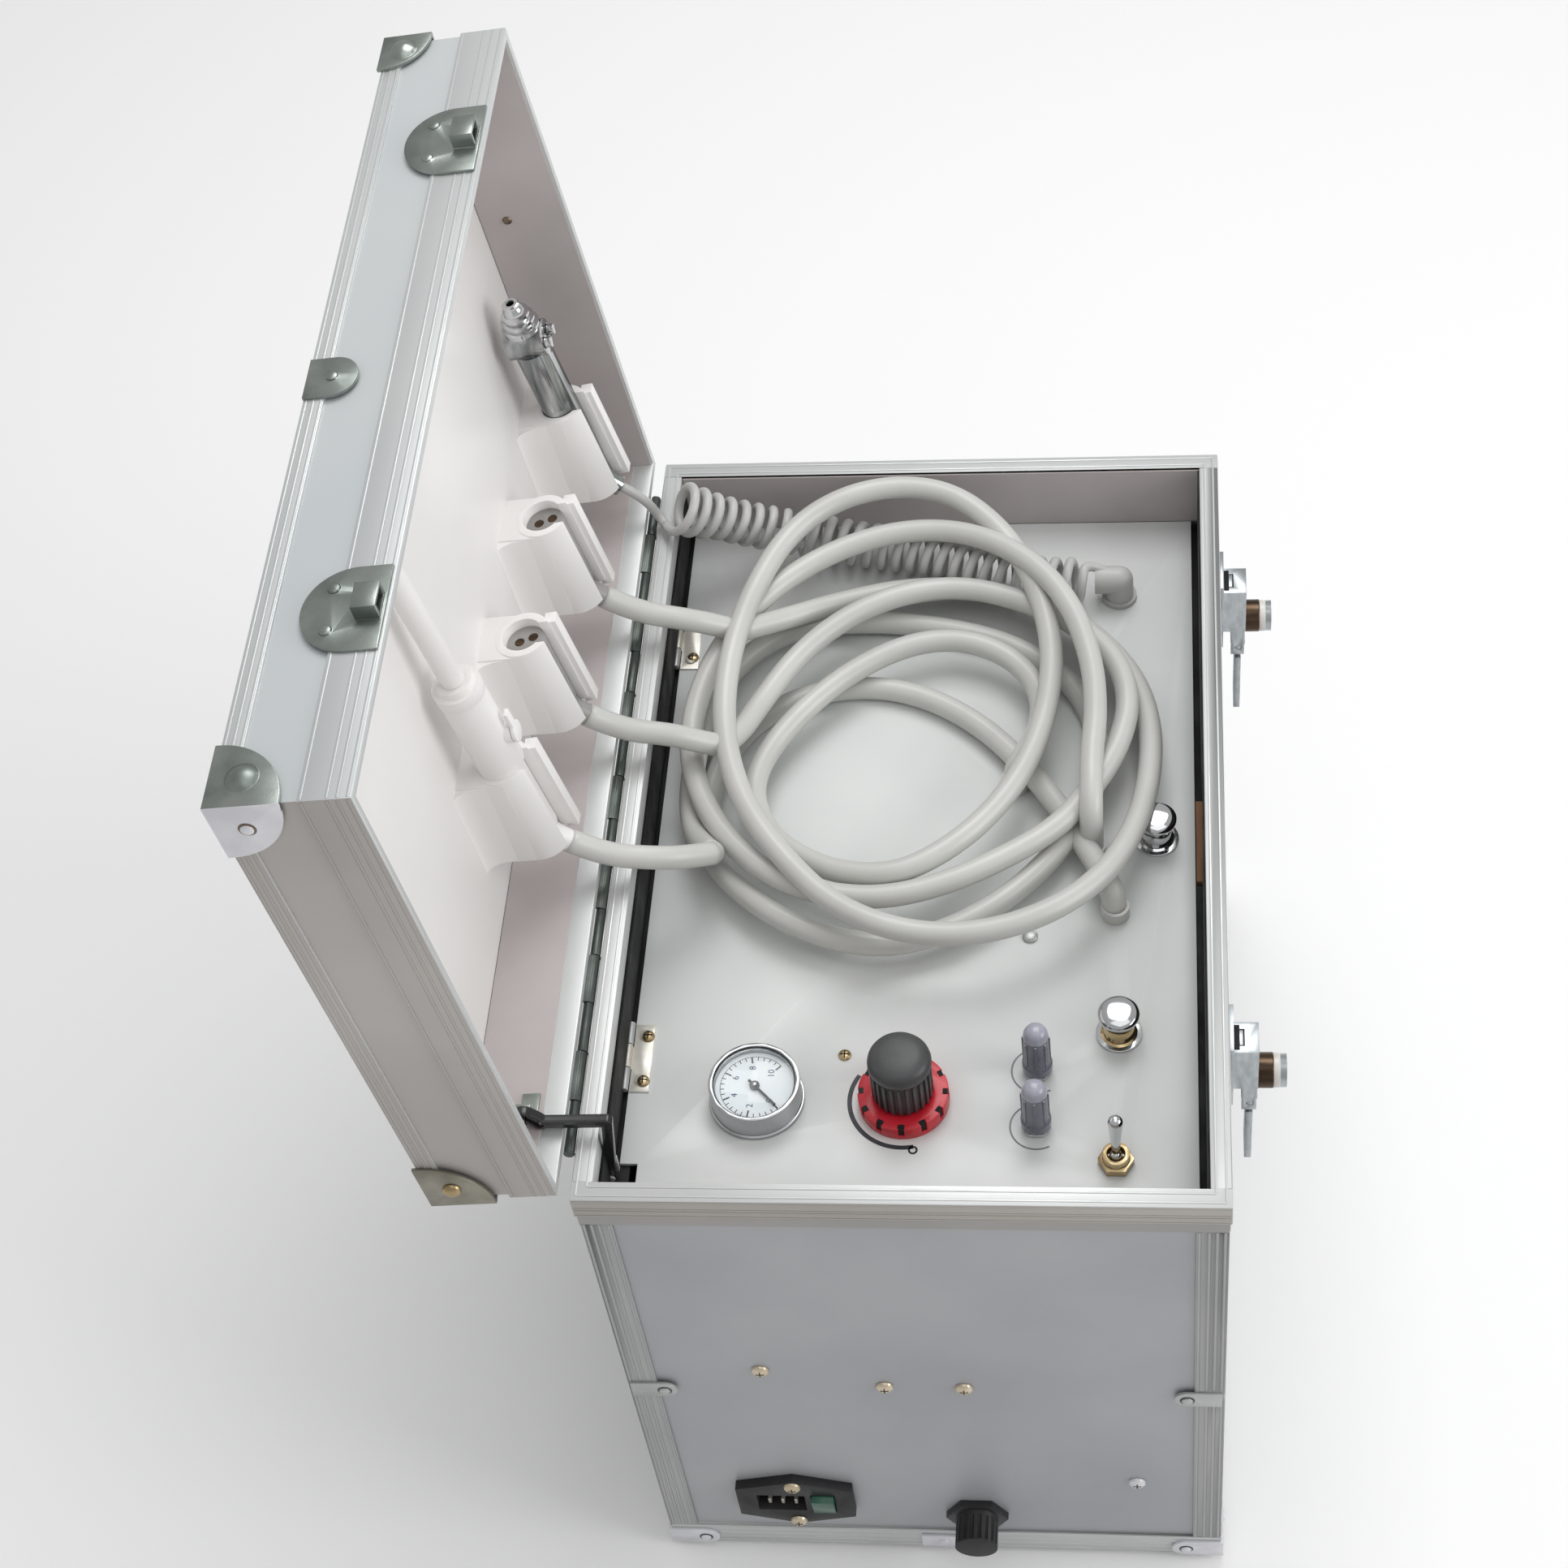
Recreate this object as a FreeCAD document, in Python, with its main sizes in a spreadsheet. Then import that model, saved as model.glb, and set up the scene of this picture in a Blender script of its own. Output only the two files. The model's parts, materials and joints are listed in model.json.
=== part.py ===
"""Portable dental unit in an aluminium flight case, lid standing open.

Frame: origin at the middle of the footprint on the ground, +X from the lid hinge
towards the latches, +Y from the connector face towards the back, +Z up.
"""
import FreeCAD, Part
import Sketcher
import math
import os

doc = FreeCAD.newDocument("portable_dental_unit")
sheet = doc.addObject("Spreadsheet::Sheet", "dims")
X, Y, Z = (FreeCAD.Vector(1, 0, 0), FreeCAD.Vector(0, 1, 0), FreeCAD.Vector(0, 0, 1))


# ---------------------------------------------------------------- sizes with an expression

class Size:
    """A number of millimetres or degrees together with the sheet expression that gives it."""

    def __init__(self, number, text):
        self.number = number
        self.text = text

    def __add__(self, other):
        other = sized(other)
        return Size(self.number + other.number, f"({self.text} + {other.text})")

    def __sub__(self, other):
        other = sized(other)
        return Size(self.number - other.number, f"({self.text} - {other.text})")

    def __mul__(self, other):
        other = sized(other)
        return Size(self.number * other.number, f"({self.text} * {other.text})")

    def __truediv__(self, other):
        other = sized(other)
        return Size(self.number / other.number, f"({self.text} / {other.text})")

    def __neg__(self):
        return Size(-self.number, f"(0 - {self.text})")

    def __radd__(self, other):
        return sized(other) + self

    def __rsub__(self, other):
        return sized(other) - self

    def __rmul__(self, other):
        return sized(other) * self


def sized(value):
    return value if isinstance(value, Size) else Size(float(value), repr(float(value)))


rows = []


def size(name, number):
    """A driving dimension: one cell of the sheet."""
    rows.append(name)
    cell = f"B{len(rows)}"
    sheet.set(f"A{len(rows)}", name)
    sheet.set(cell, str(number))
    sheet.setAlias(cell, name)
    return Size(float(number), "dims." + name)


def derived(name, value):
    """A size worked out from others, kept in a cell of its own."""
    rows.append(name)
    cell = f"B{len(rows)}"
    sheet.set(f"A{len(rows)}", name)
    sheet.set(cell, "=" + value.text.replace("dims.", ""))
    sheet.setAlias(cell, name)
    return Size(value.number, "dims." + name)


def cosine(angle):
    return Size(math.cos(math.radians(angle.number)), f"cos({angle.text} * 1deg)")


def sine(angle):
    return Size(math.sin(math.radians(angle.number)), f"sin({angle.text} * 1deg)")


# ---------------------------------------------------------------- driving dimensions

# case body
case_width = size("case_width", 280)
case_length = size("case_length", 433)
body_depth = size("body_depth", 345)
foot_height = size("foot_height", 5)
foot_radius = size("foot_radius", 11)
foot_inset = size("foot_inset", 30)
wall_inset = size("wall_inset", 2.6)
wall_thickness = size("wall_thickness", 5)
floor_thickness = size("floor_thickness", 6)
trim_gauge = size("trim_gauge", 1.4)
rim_lip_height = size("rim_lip_height", 14)
rim_band_height = size("rim_band_height", 22)
rim_inner_height = size("rim_inner_height", 12)
rim_cap_gauge = size("rim_cap_gauge", 2.5)
post_width = size("post_width", 15)
base_rail_height = size("base_rail_height", 18)
base_rail_foot = size("base_rail_foot", 20)
corner_cap_reach = size("corner_cap_reach", 24)
corner_cap_rise = size("corner_cap_rise", 14)
corner_cap_gauge = size("corner_cap_gauge", 1.5)
clip_length = size("clip_length", 22)
clip_height = size("clip_height", 12)
clip_margin = size("clip_margin", 1)
near_clip_drop = size("near_clip_drop", 175)
rivet_radius = size("rivet_radius", 2.6)
rivet_head = size("rivet_head", 1.2)

# lid and its hinge
lid_open_angle = size("lid_open_angle", 96.14)
lid_width = size("lid_width", 279.2)
lid_length = size("lid_length", 431)
lid_depth = size("lid_depth", 55)
lid_wall = size("lid_wall", 4)
lid_flange = size("lid_flange", 20)
lid_flange_gauge = size("lid_flange_gauge", 1.4)
lid_rim_profile = size("lid_rim_profile", 21)
lid_edge_profile = size("lid_edge_profile", 9)
lid_flat_recess = size("lid_flat_recess", 1.2)
lid_skin_gauge = size("lid_skin_gauge", 1.6)
lid_side_gap = size("lid_side_gap", 0.2)
lid_rim_gap = size("lid_rim_gap", 0.4)
hinge_offset = size("hinge_offset", 3)
hinge_drop = size("hinge_drop", 1.2)
hinge_knuckle_radius = size("hinge_knuckle_radius", 2.4)
hinge_pin_radius = size("hinge_pin_radius", 1.2)
hinge_pin_clearance = size("hinge_pin_clearance", 0.06)
hinge_leaf_gauge = size("hinge_leaf_gauge", 1.0)
hinge_leaf_height = size("hinge_leaf_height", 17)
hinge_end_margin = size("hinge_end_margin", 24)
knuckle_gap = size("knuckle_gap", 0.5)

# white instrument board and its cradles
board_depth = size("board_depth", 42)
board_gauge = size("board_gauge", 2)
board_flange = size("board_flange", 3)
board_margin = size("board_margin", 0.4)
cradle_first = size("cradle_first", 169)
cradle_pitch = size("cradle_pitch", 73.5)
cradle_count = 4
cradle_centre_s = size("cradle_centre_s", 85)
cradle_centre_depth = size("cradle_centre_depth", 22)
cradle_tilt = size("cradle_tilt", 5)
cradle_height = size("cradle_height", 56)
cradle_above = size("cradle_above", 3)
cradle_radius = size("cradle_radius", 13)
cradle_bore = size("cradle_bore", 9.4)
cradle_slot = size("cradle_slot", 12)
cradle_lip_above = size("cradle_lip_above", 1)
cradle_lip_below = size("cradle_lip_below", 56)
tool_fit = size("tool_fit", 0.35)

# control panel
panel_recess = size("panel_recess", 38)
panel_gauge = size("panel_gauge", 2)
panel_left = size("panel_left", 12)
panel_right = size("panel_right", 267)
panel_end_inset = size("panel_end_inset", 10)
ledge_height = size("ledge_height", 20)
ledge_gap = size("ledge_gap", 0.3)
ledge_left_width = size("ledge_left_width", 9)
ledge_right_width = size("ledge_right_width", 9)
panel_hinge_from_left = size("panel_hinge_from_left", 10.4)
panel_hinge_rise = size("panel_hinge_rise", 1.9)
panel_knuckle_radius = size("panel_knuckle_radius", 1.7)
panel_pin_radius = size("panel_pin_radius", 0.8)
panel_hinge_length = size("panel_hinge_length", 36)
panel_hinge_leaf = size("panel_hinge_leaf", 11)
near_panel_hinge = size("near_panel_hinge", 96)
far_panel_hinge = size("far_panel_hinge", 345)

# instruments on the panel: places from the hinge face and from the connector face
gauge_x = size("gauge_x", 71)
gauge_y = size("gauge_y", 75)
gauge_radius = size("gauge_radius", 20.5)
gauge_height = size("gauge_height", 15)
regulator_x = size("regulator_x", 137)
regulator_y = size("regulator_y", 75)
lock_ring_radius = size("lock_ring_radius", 20.3)
lock_ring_height = size("lock_ring_height", 8)
regulator_knob_radius = size("regulator_knob_radius", 14.4)
regulator_knob_top = size("regulator_knob_top", 38)
flow_valve_x = size("flow_valve_x", 196)
far_flow_valve_y = size("far_flow_valve_y", 91)
near_flow_valve_y = size("near_flow_valve_y", 62)
flow_knob_radius = size("flow_knob_radius", 6)
flow_knob_top = size("flow_knob_top", 34)
toggle_x = size("toggle_x", 231)
toggle_y = size("toggle_y", 44)
toggle_nut_radius = size("toggle_nut_radius", 8)
toggle_lever_length = size("toggle_lever_length", 20)
toggle_lean = size("toggle_lean", 14)
toggle_foot_radius = size("toggle_foot_radius", 1.5)
toggle_waist_radius = size("toggle_waist_radius", 2.2)
toggle_bat_radius = size("toggle_bat_radius", 3.4)
toggle_pin_radius = size("toggle_pin_radius", 1)
toggle_pin_length = size("toggle_pin_length", 7.2)
near_button_x = size("near_button_x", 232)
near_button_y = size("near_button_y", 111)
far_button_x = size("far_button_x", 249)
far_button_y = size("far_button_y", 220)
button_cap_radius = size("button_cap_radius", 9.4)
button_travel = size("button_travel", 3)
panel_screw_x = size("panel_screw_x", 191)
panel_screw_y = size("panel_screw_y", 164)

# latches, at their places along the case
near_latch_y = size("near_latch_y", 91)
far_latch_y = size("far_latch_y", 357)
latch_plate_width = size("latch_plate_width", 24)
latch_plate_height = size("latch_plate_height", 44)
latch_plate_gauge = size("latch_plate_gauge", 2)
latch_top_drop = size("latch_top_drop", 2)
lever_width = size("lever_width", 16)
lock_barrel_radius = size("lock_barrel_radius", 7.5)
lock_barrel_length = size("lock_barrel_length", 13)
lever_pin_radius = size("lever_pin_radius", 1.5)
lever_pin_clearance = size("lever_pin_clearance", 0.08)
catch_width = size("catch_width", 42)
catch_height = size("catch_height", 34)
catch_gauge = size("catch_gauge", 1.5)
catch_margin = size("catch_margin", 1)
catch_rivet_depth = size("catch_rivet_depth", 22)

# connector face
inlet_x = size("inlet_x", 69)
inlet_rise = size("inlet_rise", 36)
inlet_width = size("inlet_width", 58)
inlet_side_height = size("inlet_side_height", 28)
inlet_peak_height = size("inlet_peak_height", 46)
inlet_flange = size("inlet_flange", 5)
inlet_body_width = size("inlet_body_width", 47)
inlet_body_height = size("inlet_body_height", 27)
inlet_body_depth = size("inlet_body_depth", 30)
socket_x = size("socket_x", 158.5)
socket_rise = size("socket_rise", 20)
socket_nut_radius = size("socket_nut_radius", 15.5)
socket_cap_radius = size("socket_cap_radius", 10.5)
cutout_clearance = size("cutout_clearance", 0.3)

# carrying handle, folded on the outside of the lid
handle_span = size("handle_span", 130)
handle_reach = size("handle_reach", 38)
handle_pin_radius = size("handle_pin_radius", 3)
handle_eye_radius = size("handle_eye_radius", 4.4)
arm_gauge = size("handle_arm_gauge", 5)

# cords
hose_radius = size("hose_radius", 5)
curly_lead_radius = size("curly_lead_radius", 3)
curly_radius = size("curly_radius", 12)

# ---------------------------------------------------------------- places that follow

left = derived("left_face", -case_width / 2)
right = derived("right_face", case_width / 2)
near = derived("near_face", -case_length / 2)
far = derived("far_face", case_length / 2)
rim_top = derived("rim_top", foot_height + body_depth)
floor_top = derived("floor_top", foot_height + trim_gauge + floor_thickness)
panel_top = derived("panel_top", rim_top - panel_recess)
inner_left = derived("inner_left", left + wall_inset + wall_thickness)
inner_right = derived("inner_right", right - wall_inset - wall_thickness)
inner_near = derived("inner_near", near + wall_inset + wall_thickness)
inner_far = derived("inner_far", far - wall_inset - wall_thickness)
hinge_x = derived("hinge_axis_x", left - hinge_offset)
hinge_z = derived("hinge_axis_z", rim_top - hinge_drop)
panel_hinge_x = derived("panel_hinge_x", left + panel_hinge_from_left)
panel_hinge_z = derived("panel_hinge_z", panel_top + panel_hinge_rise)
lid_start_y = derived("lid_start_y", near + (case_length - lid_length) / 2)
doc.recompute()


# ---------------------------------------------------------------- solids bound to the sheet

def bind(thing, prop, value):
    thing.setExpression(prop, sized(value).text)


def put(thing, x, y, z, axis=None, angle=0.0):
    """Move a finished shape: its base is bound, its turn is a fixed one."""
    turn = FreeCAD.Rotation(axis, angle) if axis else FreeCAD.Rotation()
    thing.Placement = FreeCAD.Placement(FreeCAD.Vector(0, 0, 0), turn)
    bind(thing, ".Placement.Base.x", x)
    bind(thing, ".Placement.Base.y", y)
    bind(thing, ".Placement.Base.z", z)
    return thing


def box(x0, x1, y0, y1, z0, z1):
    solid = doc.addObject("Part::Box", "block")
    bind(solid, "Length", sized(x1) - x0)
    bind(solid, "Width", sized(y1) - y0)
    bind(solid, "Height", sized(z1) - z0)
    return put(solid, x0, y0, z0)


TURNS = {"x": (Y, 90), "y": (X, -90), "z": (None, 0), "-z": (X, 180), "-x": (Y, -90), "-y": (X, 90)}


def rod(axis, radius, length, x, y, z):
    """A cylinder that starts at the point and runs along the axis."""
    solid = doc.addObject("Part::Cylinder", "rod")
    bind(solid, "Radius", radius)
    bind(solid, "Height", length)
    return put(solid, x, y, z, *TURNS[axis])


def taper(axis, radius, end_radius, length, x, y, z):
    solid = doc.addObject("Part::Cone", "taper")
    bind(solid, "Radius1", radius)
    bind(solid, "Radius2", end_radius)
    bind(solid, "Height", length)
    return put(solid, x, y, z, *TURNS[axis])


def ball(radius, x, y, z):
    solid = doc.addObject("Part::Sphere", "ball")
    bind(solid, "Radius", radius)
    return put(solid, x, y, z)


def hexagon(axis, radius, length, x, y, z):
    solid = doc.addObject("Part::Prism", "hexagon")
    solid.Polygon = 6
    bind(solid, "Circumradius", radius)
    bind(solid, "Height", length)
    return put(solid, x, y, z, *TURNS[axis])


def group(*parts):
    """Separate solids that share one node."""
    bundle = doc.addObject("Part::Compound", "group")
    bundle.Links = list(parts)
    return bundle


def fuse(*parts):
    joined = doc.addObject("Part::MultiFuse", "joined")
    joined.Shapes = list(parts)
    joined.Refine = True
    return joined


def cut(base, *tools):
    result = doc.addObject("Part::Cut", "cut")
    result.Base = base
    result.Tool = tools[0] if len(tools) == 1 else group(*tools)
    result.Refine = True
    return result


def outline(body, plane, points):
    """A closed sketch of straight edges, every corner bound to the sheet."""
    sketch = body.newObject("Sketcher::SketchObject", "outline")
    face = next(f for f in body.Origin.OriginFeatures if f.Role == plane)
    sketch.AttachmentSupport = (face, "")
    sketch.MapMode = "FlatFace"
    points = [(sized(u), sized(v)) for u, v in points]
    corners = [FreeCAD.Vector(u.number, v.number, 0) for u, v in points]
    for k, corner in enumerate(corners):
        sketch.addGeometry(Part.LineSegment(corner, corners[(k + 1) % len(corners)]), False)
    for k in range(len(corners)):
        sketch.addConstraint(Sketcher.Constraint("Coincident", k, 2, (k + 1) % len(corners), 1))
    for k, (u, v) in enumerate(points):
        for direction, value in (("DistanceX", u), ("DistanceY", v)):
            index = sketch.addConstraint(Sketcher.Constraint(direction, -1, 1, k, 1, value.number))
            sketch.setExpression(f"Constraints[{index}]", value.text)
    return sketch


def prism(plane, points, length):
    """A padded outline: YZ outlines run along +X, XZ outlines along -Y, XY outlines along +Z."""
    body = doc.addObject("PartDesign::Body", "prism")
    pad = body.newObject("PartDesign::Pad", "pad")
    pad.Profile = outline(body, plane, points)
    bind(pad, "Length", length)
    body.Tip = pad
    return body


NODES = {}


def node(name, piece):
    """Give a sub-part its name; a wrapped piece keeps its own placement free."""
    wrapped = doc.addObject("Part::Compound", name)
    wrapped.Links = [piece]
    wrapped.Label = name
    NODES[name] = wrapped
    return wrapped


def rig(piece, x, y, z, axis=None, angle=0.0):
    """Wrap a piece so that it can be placed without touching its own placement."""
    return put(group(piece), x, y, z, axis, angle)


def ring(inset, gauge, z0, z1, x0=left, x1=right, y0=near, y1=far):
    """A rectangular frame that follows the outline of the case."""
    inner = sized(inset) + gauge
    outside = box(x0 + inset, x1 - inset, y0 + inset, y1 - inset, z0, z1)
    inside = box(x0 + inner, x1 - inner, y0 + inner, y1 - inner, sized(z0) - 1, sized(z1) + 1)
    return cut(outside, inside)


def case_x(value):
    """A place measured from the hinge-side face of the case."""
    return left + value


def case_y(value):
    """A place measured from the connector face of the case."""
    return near + value


def below_rim(value):
    return rim_top - value


def screw(axis, radius, head, x, y, z):
    """A cross-recessed screw head standing on a surface; the axis points out of it."""
    shank = rod(axis, radius, head * 0.6, x, y, z)
    step = {"x": (1, 0, 0), "-x": (-1, 0, 0), "y": (0, 1, 0), "-y": (0, -1, 0), "z": (0, 0, 1)}[axis]
    lift = [c * (head * 0.6) for c in step]
    crown = taper(axis, radius, radius * 0.6, head * 0.4, x + lift[0], y + lift[1], z + lift[2])
    return fuse(shank, crown)


# ---------------------------------------------------------------- case body

floor_bottom = foot_height + trim_gauge
wall_top = rim_top - rim_cap_gauge
near_outer = near + wall_inset
far_outer = far - wall_inset
left_outer = left + wall_inset
right_outer = right - wall_inset

floor_panel = box(left_outer, right_outer, near_outer, far_outer, floor_bottom, floor_top)
node("case_floor", floor_panel)

# connector face with its two cut-outs
inlet_cx = case_x(inlet_x)
inlet_cz = foot_height + base_rail_height + inlet_rise
socket_cx = case_x(socket_x)
socket_cz = foot_height + base_rail_height + socket_rise
near_wall = box(left_outer, right_outer, near_outer, inner_near, floor_top, wall_top)
inlet_hole = box(inlet_cx - inlet_body_width / 2 - cutout_clearance,
                 inlet_cx + inlet_body_width / 2 + cutout_clearance,
                 near_outer - 1, inner_near + 1,
                 inlet_cz - inlet_body_height / 2 - cutout_clearance,
                 inlet_cz + inlet_body_height / 2 + cutout_clearance)
socket_thread = size("socket_thread", 9)
socket_hole = rod("y", socket_thread + cutout_clearance, wall_thickness + 4,
                  socket_cx, near_outer - 2, socket_cz)
node("case_near_wall", cut(near_wall, inlet_hole, socket_hole))
node("case_far_wall", box(left_outer, right_outer, inner_far, far_outer, floor_top, wall_top))
node("case_hinge_wall", box(left_outer, inner_left, inner_near, inner_far, floor_top, wall_top))
node("case_latch_wall", box(inner_right, right_outer, inner_near, inner_far, floor_top, wall_top))



def common(first, second):
    shared = doc.addObject("Part::MultiCommon", "shared")
    shared.Shapes = [first, second]
    return shared


def four_bars(frame, width):
    """The near and far bars run right across; the side bars are cut to fit between them."""
    low = floor_bottom - bar_margin
    high = rim_top + bar_margin
    near_end = near + width
    far_end = far - width
    side_a = left - bar_margin
    side_b = right + bar_margin
    return [common(frame, box(side_a, side_b, near - bar_margin, near_end, low, high)),
            common(frame, box(side_a, side_b, far_end, far + bar_margin, low, high)),
            common(frame, box(side_a, 0, near_end, far_end, low, high)),
            common(frame, box(0, side_b, near_end, far_end, low, high))]


bar_margin = size("bar_margin", 10)

# rim extrusion: outer lip, lower band, cap over the wall and inner flange
band_inset = wall_inset - trim_gauge
cap_width = wall_inset + wall_thickness + 1.5
rim = fuse(ring(0, wall_inset, below_rim(rim_lip_height), rim_top),
           ring(band_inset, trim_gauge, below_rim(rim_band_height), below_rim(rim_lip_height) + 2),
           ring(0, cap_width, wall_top, rim_top),
           ring(wall_inset + wall_thickness, 1.5, below_rim(rim_inner_height), rim_top))
base_rail_top = foot_height + base_rail_height
post_bottom = base_rail_top
post_top = below_rim(rim_band_height)
base_rail = fuse(ring(band_inset, trim_gauge, foot_height, base_rail_top),
                 ring(band_inset, base_rail_foot, foot_height, foot_height + trim_gauge))
rail_width = band_inset + base_rail_foot
posts = []
for corner_x, sign_x in ((left, 1), (right, -1)):
    for corner_y, sign_y in ((near, 1), (far, -1)):
        spans = []
        for corner, sign in ((corner_x, sign_x), (corner_y, sign_y)):
            wide = sorted((corner + sign * band_inset, corner + sign * post_width),
                          key=lambda value: value.number)
            thin = sorted((corner + sign * band_inset, corner + sign * wall_inset),
                          key=lambda value: value.number)
            spans.append((wide, thin))
        (wide_x, thin_x), (wide_y, thin_y) = spans
        posts.append(fuse(box(*wide_x, *thin_y, post_bottom, post_top),
                          box(*thin_x, *wide_y, post_bottom, post_top)))
node("case_frame", group(*four_bars(rim, cap_width), *four_bars(base_rail, rail_width), *posts))

# riveted caps on the bottom corners and clips on the edges, all with rounded ends
def span(first, second):
    """Two places in rising order, for a box that may run either way."""
    first, second = sized(first), sized(second)
    return (first, second) if first.number <= second.number else (second, first)


def strap_x(end_x, tip_x, y_low, y_high, z_low, z_high):
    """A flat strap along X whose tip is a half disc as wide as the strap."""
    half = (sized(z_high) - z_low) / 2
    middle_z = sized(z_low) + half
    run = -1 if sized(end_x).number > sized(tip_x).number else 1
    return fuse(box(*span(end_x, sized(tip_x) - half * run), y_low, y_high, z_low, z_high),
                rod("y", half, sized(y_high) - y_low, sized(tip_x) - half * run, y_low, middle_z))


def strap_y(end_y, tip_y, x_low, x_high, z_low, z_high):
    """The same strap along Y."""
    half = (sized(z_high) - z_low) / 2
    middle_z = sized(z_low) + half
    run = -1 if sized(end_y).number > sized(tip_y).number else 1
    return fuse(box(x_low, x_high, *span(end_y, sized(tip_y) - half * run), z_low, z_high),
                rod("x", half, sized(x_high) - x_low, x_low, sized(tip_y) - half * run, middle_z))


fittings = []
cap_low = foot_height
cap_high = foot_height + corner_cap_rise
cap_middle = foot_height + corner_cap_rise / 2
rivet_reach = corner_cap_reach - corner_cap_rise / 2
for corner_x, sign_x, out_x in ((left, 1, "-x"), (right, -1, "x")):
    for corner_y, sign_y, out_y in ((near, 1, "-y"), (far, -1, "y")):
        face_x = corner_x + sign_x * band_inset
        face_y = corner_y + sign_y * band_inset
        skin_x = face_x - sign_x * corner_cap_gauge
        skin_y = face_y - sign_y * corner_cap_gauge
        reach_x = face_x + sign_x * corner_cap_reach
        reach_y = face_y + sign_y * corner_cap_reach
        plate_a = strap_x(skin_x, reach_x, *span(skin_y, face_y), cap_low, cap_high)
        plate_b = strap_y(skin_y, reach_y, *span(skin_x, face_x), cap_low, cap_high)
        rivet_a = screw(out_y, rivet_radius, rivet_head, face_x + sign_x * rivet_reach, skin_y,
                        cap_middle)
        rivet_b = screw(out_x, rivet_radius, rivet_head, skin_x, face_y + sign_y * rivet_reach,
                        cap_middle)
        fittings.append(fuse(plate_a, plate_b, rivet_a, rivet_b))
clip_half = clip_height / 2
clip_face = near + band_inset
for side_x, sign in ((left, 1), (right, -1)):
    clip_start = side_x + sign * (band_inset + clip_margin)
    clip_tip = clip_start + sign * clip_length
    clip_plate = strap_x(clip_start, clip_tip, clip_face - corner_cap_gauge, clip_face,
                         below_rim(near_clip_drop) - clip_half,
                         below_rim(near_clip_drop) + clip_half)
    clip_rivet = screw("-y", rivet_radius, rivet_head, clip_tip - sign * clip_half,
                       clip_face - corner_cap_gauge, below_rim(near_clip_drop))
    fittings.append(fuse(clip_plate, clip_rivet))
for clip_face, sign, out in ((near + band_inset, -1, "-y"), (far - band_inset, 1, "y")):
    skin = clip_face + sign * corner_cap_gauge
    clip_low = foot_height + 2 * clip_margin
    clip_plate = box(-clip_length / 2, clip_length / 2, *span(skin, clip_face), clip_low,
                     clip_low + clip_height)
    fittings.append(fuse(clip_plate, screw(out, rivet_radius, rivet_head, 0, skin,
                                           clip_low + clip_height / 2)))
node("case_fittings", group(*fittings))

feet = []
for sign_x, corner_x in ((1, left), (-1, right)):
    for sign_y, corner_y in ((1, near), (-1, far)):
        feet.append(taper("z", foot_radius * 0.8, foot_radius, foot_height,
                          corner_x + sign_x * foot_inset, corner_y + sign_y * foot_inset, 0))
feet.append(taper("z", foot_radius * 0.8, foot_radius, foot_height + trim_gauge, 0, 0, 0))
node("rubber_feet", group(*feet))

# ---------------------------------------------------------------- piano hinge of the lid

knuckles = 15
hinge_start = near + hinge_end_margin
hinge_run = case_length - 2 * hinge_end_margin
knuckle_run = derived("knuckle_run", (hinge_run - (knuckles - 1) * knuckle_gap) / knuckles)
leaf_gap = hinge_knuckle_radius + 0.4
pin_bore = hinge_pin_radius + hinge_pin_clearance
rivet_margin = size("hinge_rivet_margin", 36)
rivet_start = hinge_start + rivet_margin
rivet_step = (hinge_run - rivet_margin * 2) / 4


def hinge_side(first, leaf_low, leaf_high, web_low, web_high, leaf_x, web_x):
    """Every other knuckle with its web, on one long leaf. Built about the closed lid."""
    pieces = [box(leaf_x, leaf_x + hinge_leaf_gauge, hinge_start, hinge_start + hinge_run,
                  leaf_low, leaf_high)]
    for index in range(first, knuckles, 2):
        start = hinge_start + index * (knuckle_run + knuckle_gap)
        pieces.append(rod("y", hinge_knuckle_radius, knuckle_run, hinge_x, start, hinge_z))
        pieces.append(box(web_x, web_x + hinge_leaf_gauge, start, start + knuckle_run,
                          web_low, web_high))
    bore = rod("y", pin_bore, hinge_run + 4, hinge_x, hinge_start - 2, hinge_z)
    return cut(fuse(*pieces), bore)


case_leaf = hinge_side(0, hinge_z - hinge_leaf_height, hinge_z - leaf_gap,
                       hinge_z - leaf_gap - 1, hinge_z, left - hinge_leaf_gauge,
                       left - hinge_leaf_gauge)
leaf_rivets = [screw("-x", rivet_radius, rivet_head, left - hinge_leaf_gauge,
                     rivet_start + index * rivet_step, hinge_z - 11) for index in range(5)]
node("hinge_case_leaf", fuse(case_leaf, *leaf_rivets))
pin_head = size("pin_head", 0.8)
node("hinge_pin", fuse(rod("y", hinge_pin_radius, hinge_run + pin_head * 2, hinge_x,
                           hinge_start - pin_head, hinge_z),
                       rod("y", hinge_knuckle_radius, pin_head, hinge_x, hinge_start - pin_head,
                           hinge_z),
                       rod("y", hinge_knuckle_radius, pin_head, hinge_x,
                           hinge_start + hinge_run, hinge_z)))

# the open lid: closed corner turned back about the hinge axis
swing_x = lid_side_gap + hinge_offset
swing_z = lid_rim_gap + hinge_drop
lid_x = derived("lid_corner_x", hinge_x + swing_x * cosine(lid_open_angle)
                - swing_z * sine(lid_open_angle))
lid_z = derived("lid_corner_z", hinge_z + swing_x * sine(lid_open_angle)
                + swing_z * cosine(lid_open_angle))
doc.recompute()


def on_lid(piece):
    """Local X runs up the lid from the hinge side, local Z runs into its depth."""
    return rig(piece, lid_x, lid_start_y, lid_z, Y, -lid_open_angle.number)


def lid_node(name, piece):
    return node(name, on_lid(piece))


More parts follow.
